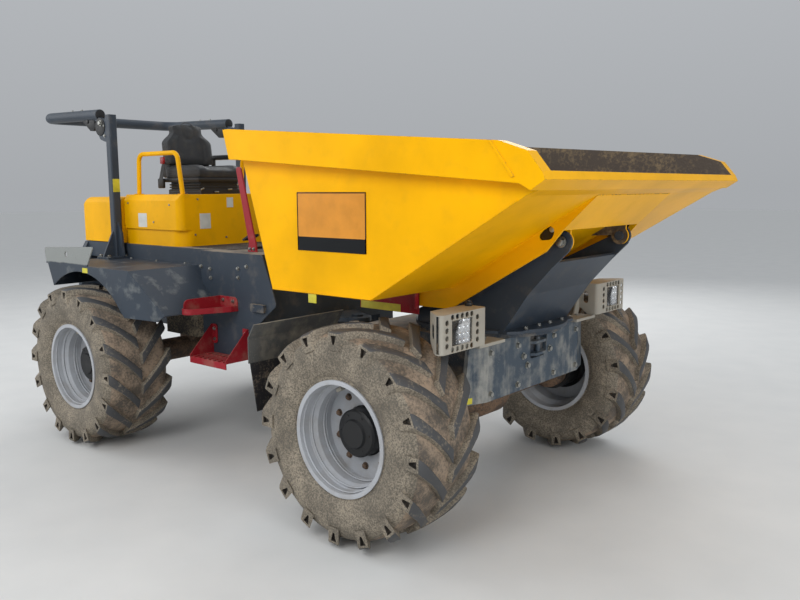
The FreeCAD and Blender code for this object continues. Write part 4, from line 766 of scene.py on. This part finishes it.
def cushion_shape(u, v, w):
    """Side rolls stand higher than the middle, and the front edge falls off in a round."""
    pull = 1 - 0.05 * abs(w) ** 3
    corner = 1 - 0.06 * (abs(u) * abs(v)) ** 4
    lift = w
    if w > 0:
        roll = min(1, max(0, (abs(v) - 0.52) / 0.14))
        seam = math.exp(-((abs(v) - 0.6) / 0.035) ** 2)
        lift = w * (0.74 + 0.26 * roll - 0.16 * seam * (u < 0.9) - 0.35 * max(0, u - 0.55) ** 2 * 4)
    return u * pull * corner, v * pull * corner, lift


def backrest_shape(u, v, w):
    """The back leans, narrows to a headrest above two thirds, and has bolsters at its sides."""
    narrow = 1 - 0.36 * min(1, max(0, (w - 0.05) / 0.5)) ** 1.2
    crown = 1 - 0.10 * (abs(v) ** 4) * (w > 0.8)
    thick = 0.46 + 0.12 * (w < 0.4) * (abs(v) > 0.62)
    groove = math.exp(-((abs(v) - 0.62) / 0.04) ** 2) * (w < 0.35)
    oval = math.exp(-((math.hypot(v * 0.9, (w - 0.62) * 0.9) - 0.34) / 0.05) ** 2)
    forward = u * (thick - (0.10 * max(groove, oval) if u > 0.9 else 0))
    return forward - 0.30 * w + 0.04, v * narrow, w * crown


class DUMPER_OT_seat(Operator):
    """Builds the sprung seat: bellows, stuffed cushion and backrest, belt and armrest"""
    bl_idname = "dumper.seat"
    bl_label = "Seat"

    # Each pad's CAD piece, how far inside its box the pad stays, and its shape.
    PADS = [("seat_cushion", (6, 6, 5), cushion_shape), ("seat_backrest", (6, 5, 5), backrest_shape)]
    PAD_CUTS = 23
    FOLDS = 4
    # Both ends of the four adjusting levers under the pan's front edge.
    ADJUSTERS = [((142, -200, 1800), (150, -175, 1812)), ((142, -70, 1782), (148, -35, 1782)),
                 ((142, 60, 1800), (148, 95, 1803)), ((142, 150, 1840), (150, 180, 1841))]

    def pad(self, node, gaps, shape):
        """Closed pad a little inside a CAD piece's box, from a divided block."""
        low, high = (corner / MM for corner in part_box(node))
        size = Vector([(top - foot) / 2 - gap for foot, top, gap in zip(low, high, gaps)])
        centre = Vector(((low.x + high.x) / 2 - SHIFT, 0, (low.z + high.z) / 2))
        bm = bmesh.new()
        block(bm, -1, 1, -1, 1, -1, 1)
        bmesh.ops.subdivide_edges(bm, edges=bm.edges[:], cuts=self.PAD_CUTS, use_grid_fill=True)
        for vert in bm.verts:
            vert.co = centre + Vector([share * half for share, half in zip(shape(*vert.co), size)])
        bmesh.ops.smooth_vert(bm, verts=bm.verts[:], factor=0.5,
                              use_axis_x=True, use_axis_y=True, use_axis_z=True)
        return bm

    def execute(self, context):
        for node, gaps, shape in self.PADS:
            pad = self.pad(node, gaps, shape)
            made = finish_piece(node.replace("seat_", "padded_"), pad, ["seat_vinyl"], REAR, 60)
            swell(made, context.scene.dumper_sizes.cushion_rise)
            smooth = made.modifiers.new("smooth", "SUBSURF")
            smooth.levels = smooth.render_levels = 1
            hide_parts(node)
        self.frame_parts()
        self.bellows()
        self.belt()
        return {"FINISHED"}

    def frame_parts(self):
        """Pan under the cushion, shell behind its back edge, and the headrest's oval piping."""
        piece("seat_shell", "moulded_black", REAR,
              (block, -322, 150, -224, 224, 1864, 1892, 8), (block, -372, -268, -196, 196, 1896, 2040, 14))
        section = [(84 + 4 * math.cos(turn), 4 * math.sin(turn))
                   for turn in (math.tau * step / 8 for step in range(9))]
        # The piping is grey as a painted highlight.
        piece("seat_piping", "piping_highlight_grey", REAR, (turned, section, (-283, 0, 2258), (1, 0, 0.12), 48))
        piece("seat_adjusters", "zinc_steel", REAR,
              *[(bar, start, end, 6, 12, 1.5) for start, end in self.ADJUSTERS])

    def bellows(self):
        """Rubber folds between the seat's pan and its foot."""
        low, high = (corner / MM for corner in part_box("seat_base"))
        half = high.y - 22
        rise = (high.z - low.z - 30) / self.FOLDS
        feet = [low.z + 8 + number * rise for number in range(self.FOLDS)]
        piece("bellows", "moulded_black", REAR,
              *[(block, low.x - SHIFT + 32, high.x - SHIFT - 22, -half, half, z, z + rise * 0.62, rise * 0.28)
                for z in feet])

    def belt(self):
        webbing = [(-330, -258, 1880), (-280, -258, 1880), (-240, -250, 2020), (-286, -250, 2020)]
        piece("belt_reel", "moulded_black", REAR,
              (slab, webbing, (0, 3, 0)), (block, -345, -268, -262, -238, 1812, 1890, 8))
        piece("belt_buckle", "lens_red", REAR, (block, -300, -252, -262, -244, 2005, 2060, 4))
        piece("armrest", "seat_vinyl", REAR,
              (block, -330, 20, 248, 300, 2045, 2085, 14), (block, -300, -270, 236, 262, 1900, 2060, 5))


class DUMPER_OT_controls(Operator):
    """Adds the dash, levers, steering boss and deck mat"""
    bl_idname = "dumper.controls"
    bl_label = "Controls"

    # The steering wheel's middle, its column's direction and that of its spoke to the knob.
    WHEEL = Vector((800, 0, 1950))
    COLUMN = Vector((-0.5, 0, 0.866))
    SPOKE = Vector((0.866, 0, 0.5))

    def execute(self, context):
        dials = []
        for y, radius, reach in ((-120, 34.1, 10), (0, 25.3, 12), (120, 34.1, 10)):
            foot = Vector((941, y, 1872))
            dials.append((bar, foot, foot + Vector((-0.4, 0, 1)) * reach, radius, 28, 2))
        piece("dash_dials", "screen_black", REAR, *dials)
        piece("rocker_switches", "moulded_black", REAR,
              *[(block, 893, 903, y - 14, y + 14, 1780, 1820, 3) for y in range(-175, 176, 70)])
        levers = []
        for y, lean in ((190, -30), (215, 20)):
            levers.append((bar, (930, y, 1850), (900 + lean, y + 8, 1960), 5, 12))
            levers.append((bar, (900 + lean, y + 8, 1950), (896 + lean, y + 9, 1985), 13, 16, 4, 10))
        piece("levers", "moulded_black", REAR, *levers)
        knob = self.WHEEL - self.SPOKE * 150 + Vector((0, 110, 0))
        piece("wheel_boss", "moulded_black", REAR,
              (bar, self.WHEEL - self.COLUMN * 6, self.WHEEL + self.COLUMN * 12, 38, 32, 4, 32),
              (bar, knob, knob + self.COLUMN * 42, 9, 20, 4, 18))
        piece("deck_mat", "flap_rubber", REAR,
              *[(block, x, x + 26, -500, 500, 1385, 1389, 1.5) for x in range(420, 861, 40)])
        return {"FINISHED"}


class DUMPER_OT_engine_bay(Operator):
    """Dresses the engine under the bonnet and the bonnet's own fittings"""
    bl_idname = "dumper.engine_bay"
    bl_label = "Engine bay"

    def execute(self, context):
        self.engine()
        self.bonnet()
        return {"FINISHED"}

    def engine(self):
        top = (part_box("engine_block")[1] / MM).z
        piece("rocker_cover", "cast_iron", REAR,
              (block, -620, -180, -95, 95, top, top + 90, 18),
              *[(block, x, x + 14, -101, 101, top + 20, top + 96, 3) for x in range(-600, -200, 62)])
        piece("air_cleaner", "moulded_black", REAR,
              (bar, (-640, 330, 1500), (-260, 330, 1500), 92, 40, 12),
              (block, -560, -520, 250, 420, 1386, 1440, 4), (block, -380, -340, 250, 420, 1386, 1440, 4))
        fins = [1400 + number * 11.5 for number in range(22)]
        piece("radiator", "cast_iron", REAR,
              (block, -880, -820, -330, 330, 1390, 1660, 4),
              *[(block, -885, -880, -310, 310, z, z + 4) for z in fins])
        piece("silencer", "muddy_casting", REAR,
              (bar, (-600, -340, 1470), (-300, -340, 1470), 75, 36, 14),
              (bar, (-450, -340, 1400), (-450, -200, 1340), 28, 20))

    def bonnet(self):
        latches = []
        for y, z in ((-559, 1538), (-545, 1440)):
            latches.append((block, -952, -938, y - 14, y + 10, z - 24, z + 24, 4))
            latches.append((block, -958, -950, y - 8, y + 6, z - 10, z + 34, 2))
        piece("bonnet_latches", "moulded_black", "engine_cover", *latches, mirrored=True)
        piece("bonnet_handle", "moulded_black", "engine_cover", (block, -952, -941, -70, 70, 1660, 1690, 4))
        cap_x, cap_y = -285, 420
        piece("filler_cap", "moulded_black", REAR,
              (bar, (cap_x, cap_y, 1765), (cap_x, cap_y, 1790), 42, 28, 5),
              *[(bar, (x, y, 1767), (x, y, 1788), 5, 10) for x, y in ring(8, 41, cap_x, cap_y)])


class DUMPER_OT_lamps(Operator):
    """Puts the reflectors and glass into the work lamps, and lenses on the tail lamps"""
    bl_idname = "dumper.lamps"
    bl_label = "Lamps"

    # A lamp's middle across, how deep its face lies in the guard, and the places of its cups.
    LAMP_Y, FACE_DEPTH = 830, 13
    CUP_ROWS, CUP_COLUMNS = range(1058, 1152, 31), range(768, 893, 31)

    def execute(self, context):
        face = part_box("headlight_left")[1].x / MM - SHIFT - self.FACE_DEPTH
        for side, sign in SIDES:
            lamp_y = sign * self.LAMP_Y
            plug_y = sign * 640
            cups = [(bar, (face - 1, sign * y, z), (face + 4, sign * y, z), 14, 12, 1.5, 9)
                    for z in self.CUP_ROWS for y in self.CUP_COLUMNS]
            piece("lamp_mirrors_" + side, "lamp_mirror", FRONT, *cups,
                  (block, face - 1, face + 1, lamp_y - 76, lamp_y + 76, 1044, 1164))
            piece("lamp_glass_" + side, "glass_cover", FRONT,
                  (block, face + 5, face + 8, lamp_y - 78, lamp_y + 78, 1043, 1165, 1))
            piece("lamp_plug_" + side, "moulded_black", FRONT,
                  (bar, (2990, plug_y, 1203), (2990, plug_y, 1222), 22, 24, 4),
                  (bar, (2990, plug_y, 1220), (2990, plug_y, 1232), 13, 20, 3))
        for colour, y0, y1 in (("red", 548, 616), ("amber", 484, 545)):
            piece("tail_lens_" + colour, "lens_" + colour, REAR,
                  (block, -993, -984.5, y0, y1, 1124, 1196, 4), mirrored=True)
        piece("blank_plate", "label_sheet", REAR, (block, -956, -950, -260, 260, 1060, 1170, 2))
        return {"FINISHED"}


class DUMPER_OT_skip_trim(Operator):
    """Lays the skip's weld beads, blank panels and small lugs"""
    bl_idname = "dumper.skip_trim"
    bl_label = "Skip trim"

    # Bead lines on the right side: name, finish, body and corners.
    BEADS = [
        ("side_foot", "yellow_enamel", SKIP, upright(-1100, (2003, 1262), (2730, 1262))),
        ("side_rake", "yellow_enamel", SKIP, upright(-1100, (2732, 1264), (3560, 1752))),
        ("band_foot", "yellow_enamel", SKIP, upright(-1101, (1800, 1962), (3590, 1822))),
        ("keel_foot", "yellow_enamel", SKIP, upright(-441, (2460, 1255), (2730, 1255), (3560, 1745))),
        ("swivel_foot", "slate_enamel", "swivel", upright(-352, (2440, 1031), (2990, 1031))),
    ]
    # Ends and heights of the blank sign on the skip's side, of the dark foot and edge on it.
    SIGN = (2214, 2704, 1484, 1786)
    FOOT_TOP, EDGE = 1556, 6

    def execute(self, context):
        radius = context.scene.dumper_sizes.weld_size
        for name, finish, body, points in self.BEADS:
            piece("bead_" + name, finish, body,
                  *[(bar, start, end, radius, 8) for start, end in zip(points, points[1:])],
                  mirrored=True, angle=80)
        self.signs()
        self.pivots()
        self.prop()
        return {"FINISHED"}

    def signs(self):
        x0, x1, z0, z1 = self.SIGN
        piece("blank_sign", "sign_orange", SKIP, (block, x0, x1, -1102, -1099, z0, z1), mirrored=True)
        strips = [(x0, x1, z0, self.FOOT_TOP), (x0, x1, z1 - self.EDGE, z1),
                  (x0, x0 + self.EDGE, z0, z1), (x1 - self.EDGE, x1, z0, z1)]
        piece("blank_sign_border", "screen_black", SKIP,
              *[(block, left, right, -1103, -1101, foot, top) for left, right, foot, top in strips],
              mirrored=True)
        piece("skip_tab", "tag_sheet", SKIP, (block, 2279, 2338, -1098, -1092, 1208, 1258, 2), mirrored=True)

    def pivots(self):
        """Seen through each cheek's hole are the pivot's boss, a plate drawn near black as painted shade, and
        the head of its pin.
        """
        boss_in_shade = upright(-424, (3232, 1512), (3352, 1548), (3390, 1636), (3312, 1620))
        # The near-black plate is painted shade in the hole, over the boss's own dark grey.
        piece("pivot_boss_shade", "screen_black", SKIP, (slab, boss_in_shade, (0, 4, 0)), mirrored=True)
        piece("pivot_head", "zinc_steel", SKIP,
              (bar, (3350, -440, 1596), (3350, -422, 1596), 15, 24, 3), mirrored=True)

    def prop(self):
        """The prop that holds the raised skip is stowed along the keel, with a blank strip on it."""
        piece("safety_prop", "red_enamel", SKIP,
              (block, 2050, 2505, -452, -441, 1086, 1256, 3), (block, 2492, 2505, -478, -441, 1120, 1256, 3))
        piece("prop_strip", "tag_sheet", SKIP, (block, 2058, 2372, -453.5, -452, 1088, 1132))


class DUMPER_OT_roll_bar_trim(Operator):
    """Adds the brackets at the arms' ends, their hinges' covers and the posts' front gussets"""
    bl_idname = "dumper.roll_bar_trim"
    bl_label = "Roll bar trim"

    def execute(self, context):
        bracket = upright(603, (-604, 2392), (-592, 2290), (-612, 2262), (-668, 2262), (-765, 2330),
                          (-800, 2362), (-800, 2392))
        piece("arm_brackets", "hub_black", "roll_bar",
              (slab, bracket, (0, 34, 0), 4),
              (bar, (-700, 596, 2336), (-700, 644, 2336), 16, 20, 3),
              (bar, (-534, 620, 2380), (-544, 620, 2380), 41, 32, 4), mirrored=True)
        piece("hinge_covers", "hub_black", REAR,
              (bar, (-487, 652.5, 2284), (-487, 658, 2284), 68, 40, 2), mirrored=True)
        gusset = upright(614, (-357, 1292), (-284, 1292), (-292, 1340), (-357, 1530))
        piece("post_gussets", "slate_enamel", REAR, (slab, gusset, (0, 12, 0), 2), mirrored=True)
        return {"FINISHED"}


class DUMPER_OT_fasteners(Operator):
    """Sets the bolts, nuts and pins' heads"""
    bl_idname = "dumper.fasteners"
    bl_label = "Fasteners"

    # Groups on the left side: name, body, size against the common bolt, direction and places.
    GROUPS = [
        ("panel", REAR, 1.0, (0, 1, 0), [
            (746, 660, 1276), (846, 660, 1264), (850, 660, 1203), (1147, 660, 1283), (1146, 660, 1223),
            (1235, 660, 1302)]),
        ("upper_step", REAR, 0.9, (0, 1, 0), [(985, 666.3, 1065), (1092, 666.3, 1062)]),
        ("lower_step", REAR, 0.9, (0, 1, 0), [
            (877, 666.3, 856), (877, 666.3, 784), (1208, 666.3, 856), (1208, 666.3, 784)]),
        ("post_foot", REAR, 1.3, (0, 0, 1), [
            (-430, 605, 1290.3), (-430, 738, 1290.3), (-312, 600, 1290.3), (-312, 738, 1290.3)]),
        ("fender", REAR, 0.8, (0, 0, 1), [(-220, 606, 1275), (120, 606, 1275), (480, 606, 1275)]),
        ("tail", REAR, 0.9, (-1, 0, 0), [
            (-950, 620, 780), (-950, 620, 1010), (-950, 300, 740), (-950, 540, 1330), (-950, 250, 1350)]),
        ("bumper", FRONT, 1.3, (1, 0, 0), [
            (3015.3, 470, 930), (3015.3, 470, 705), (3015.3, 200, 705), (3015.3, 200, 930)]),
        ("base_plate", "swivel", 1.0, (0, 0, 1), [(3066, 60, 1030), (3066, 200, 1030), (2960, 300, 1030)]),
        ("lamp_arm", FRONT, 0.8, (0, 0, 1), [(2975, 470, 1002), (2975, 560, 1002)]),
        ("guard_arm", FRONT, 0.9, (0, 0, 1), [(2000, 505, 950), (2070, 505, 950)]),
        ("hinge_cheek", REAR, 0.8, (0, 1, 0), [(-430, 652.5, 2215), (-430, 652.5, 2290)]),
        ("hinge_pin", REAR, 1.5, (0, 1, 0), [(-468, 660.5, 2310)]),
        ("handrail", REAR, 0.8, (0, 1, 0), [(1112, 525, 1405), (1150, 525, 1405)]),
        ("seat_box", REAR, 0.55, (1, 0, 0), [(372, 430, 1470), (372, 150, 1440), (372, 400, 1730)]),
        ("seat_box_side", REAR, 0.55, (0, 1, 0), [(250, 562, 1690), (-300, 562, 1700), (40, 562, 1560)]),
        ("arm_cap", "roll_bar", 0.8, (0, 0, 1), [(-808, 620, 2428), (-955, 620, 2431)]),
        ("pivot_pin", "swivel", 2.0, (0, 1, 0), [(3360, 360, 1530)]),
    ]
    # The towing jaw's bolts have no fellows on the other side.
    JAW = [(3015.3, -140, 859), (3015.3, -98, 800), (3015.3, 150, 859)]
    SLEW_X, SLEW_RADIUS, SLEW_BOLTS, SLEW_Z = 2700, 425, 24, 1030

    def execute(self, context):
        size = context.scene.dumper_sizes.bolt_size
        for name, body, share, axis, places in self.GROUPS:
            piece("bolts_" + name, "zinc_steel", body,
                  *[(hexagon_bolt, place, axis, size * share) for place in places], mirrored=True)
        piece("bolts_jaw", "zinc_steel", FRONT,
              *[(hexagon_bolt, place, (1, 0, 0), size * 1.4) for place in self.JAW])
        # The ring's bolts are left out under the base plate and the ears' webs.
        free = [(x, y, self.SLEW_Z) for x, y in ring(self.SLEW_BOLTS, self.SLEW_RADIUS, self.SLEW_X, 0)
                if x < 2880 and not 305 < abs(y) < 380]
        piece("bolts_slew_ring", "zinc_steel", "swivel",
              *[(hexagon_bolt, place, (0, 0, 1), size) for place in free])
        return {"FINISHED"}


class DUMPER_OT_labels(Operator):
    """Sticks the blank labels and tags where the machine has them"""
    bl_idname = "dumper.labels"
    bl_label = "Labels"

    # Name, finish and box of each sheet.
    SHEETS = [
        ("seat_box_front", "label_sheet", (372, 373.2, -386, -290, 1512, 1625)),
        ("seat_box_corner", "label_sheet", (372, 373.2, -135, -75, 1665, 1740)),
        ("seat_box_side", "label_sheet", (-165, -50, -563.2, -562, 1520, 1625)),
        ("post_tag", "tag_sheet", (-355.5, -354.3, -650, -592, 1785, 1885)),
        ("fender_tag", "tag_sheet", (40, 110, -1151.2, -1150, 1228, 1262)),
        ("isolator_box", "dusty_plate", (1290, 1420, -684, -660, 1015, 1065)),
    ]
    # A tag low on the bumper's bent end, in the plane of the bend.
    BUMPER_TAG = [(2984.6, -596, 672), (2971.4, -636, 672), (2971.4, -636, 704), (2984.6, -596, 704)]

    def execute(self, context):
        for name, finish, box in self.SHEETS:
            piece("label_" + name, finish, REAR, (block, *box))
        piece("label_bumper_tag", "tag_sheet", FRONT, (slab, self.BUMPER_TAG, (1.14, -0.38, 0)))
        return {"FINISHED"}


class DUMPER_OT_pipework(Operator):
    """Runs a hose along each rail"""
    bl_idname = "dumper.pipework"
    bl_label = "Pipework"

    RAIL_HOSE = [(560, 312, 930), (800, 312, 935), (1000, 314, 920), (1200, 330, 930), (1346, 330, 935)]

    def execute(self, context):
        for side, sign in SIDES:
            points = [(x, sign * y, z) for x, y, z in self.RAIL_HOSE]
            tube_piece("rail_hose_" + side, points, 11, "hose_rubber", REAR)
        return {"FINISHED"}


class DUMPER_OT_stage(Operator):
    """Lays the floor, sets the soft lights and puts the camera where the photograph was taken"""
    bl_idname = "dumper.stage"
    bl_label = "Stage"

    FLOOR_SIZE = 60000
    # The lamps aim at the machine's waist. Each has a name, a place, watts and a width.
    WAIST = Vector((0, 0, 1))
    LAMPS = [("key", (2.5, -8.5, 6.5), 400, 5), ("front", (9, -2.5, 2.4), 190, 3.5),
             ("fill", (-7, -5, 4.5), 200, 6), ("back", (-3, 7, 6), 330, 6)]
    # The camera: angles of turn, pitch and roll in degrees, place from the rear axle in metres,
    # and focal length on a 36 mm frame.
    ANGLES = (40.259, 7.986, -0.323)
    CAMERA = (5.3588, -3.9843, 1.8072)
    FOCAL, FRAME_WIDTH = 36.07, 36

    def execute(self, context):
        levelled_floor("pale_floor")
        bm = bmesh.new()
        bmesh.ops.create_grid(bm, x_segments=2, y_segments=2, size=self.FLOOR_SIZE)
        bmesh.ops.transform(bm, matrix=PLACE, verts=bm.verts[:])
        mesh = to_mesh("floor", bm)
        mesh.materials.append(FINISHES["pale_floor"])
        floor = bpy.data.objects.new("floor", mesh)
        context.scene.collection.objects.link(floor)
        self.light()
        self.camera()
        return {"FINISHED"}

    def light(self):
        """An even dome, darker towards the horizon, and four broad lamps."""
        bpy.context.scene.view_settings.view_transform = "Standard"
        world = bpy.data.worlds.new("sky")
        world.use_nodes = True
        tree = world.node_tree
        aim = add_node(tree, "TexCoord")
        height = add_node(tree, "SeparateXYZ", {0: aim.outputs["Generated"]}).outputs["Z"]
        bright = add_node(tree, "MapRange", {0: height, 2: 0.7, 3: 0.50, 4: 0.78})
        backdrop = tree.nodes["Background"]
        backdrop.inputs["Color"].default_value = linear("#E3E7EC")
        tree.links.new(bright.outputs[0], backdrop.inputs["Strength"])
        bpy.context.scene.world = world
        for name, spot, power, size in self.LAMPS:
            lamp = bpy.data.lights.new(name, "AREA")
            lamp.energy = power
            lamp.size = size
            holder = bpy.data.objects.new(name, lamp)
            holder.location = spot
            holder.rotation_euler = (self.WAIST - Vector(spot)).to_track_quat("-Z", "Y").to_euler()
            bpy.context.scene.collection.objects.link(holder)

    def camera(self):
        """Solved from the wheels' ellipses and the skip's edges in the photograph."""
        turn, pitch, roll = (math.radians(angle) for angle in self.ANGLES)
        right = Vector((math.cos(turn), math.sin(turn), 0))
        ahead = Vector((-math.sin(turn) * math.cos(pitch), math.cos(turn) * math.cos(pitch),
                        -math.sin(pitch)))
        up = right.cross(ahead)
        side = right * math.cos(roll) + up * math.sin(roll)
        top = up * math.cos(roll) - right * math.sin(roll)
        lens = bpy.data.cameras.new("camera")
        lens.lens = self.FOCAL
        lens.sensor_width = self.FRAME_WIDTH
        holder = bpy.data.objects.new("camera", lens)
        x, y, z = self.CAMERA
        spot = Vector((x + REAR_AXLE.x, y, z))
        holder.matrix_world = Matrix.Translation(spot) @ Matrix((side, top, -ahead)).transposed().to_4x4()
        bpy.context.scene.collection.objects.link(holder)
        bpy.context.scene.camera = holder


STEPS = [DUMPER_OT_finishes, DUMPER_OT_tyres, DUMPER_OT_wheel_fittings, DUMPER_OT_seat, DUMPER_OT_controls,
         DUMPER_OT_engine_bay, DUMPER_OT_lamps, DUMPER_OT_skip_trim, DUMPER_OT_roll_bar_trim,
         DUMPER_OT_fasteners, DUMPER_OT_labels, DUMPER_OT_pipework, DUMPER_OT_stage]


class DUMPER_PT_panel(Panel):
    """Lists the sizes, colours and pieces of the dumper"""
    bl_idname = "DUMPER_PT_panel"
    bl_label = "Site dumper"
    bl_space_type = "VIEW_3D"
    bl_region_type = "UI"
    bl_category = "Dumper"

    def draw(self, context):
        for group in (context.scene.dumper_sizes, context.scene.dumper_colours):
            for name in group.__annotations__:
                self.layout.prop(group, name)
        for step in STEPS:
            self.layout.operator(step.bl_idname)


CLASSES = [DumperColours, DumperSizes, *STEPS, DUMPER_PT_panel]


def register():
    for each in CLASSES:
        bpy.utils.register_class(each)
    bpy.types.Scene.dumper_colours = PointerProperty(type=DumperColours)
    bpy.types.Scene.dumper_sizes = PointerProperty(type=DumperSizes)


def unregister():
    del bpy.types.Scene.dumper_sizes
    del bpy.types.Scene.dumper_colours
    for each in reversed(CLASSES):
        bpy.utils.unregister_class(each)


def main():
    register()
    for step in STEPS:
        family, name = step.bl_idname.split(".")
        getattr(getattr(bpy.ops, family), name)()


if __name__ == "__main__":
    main()
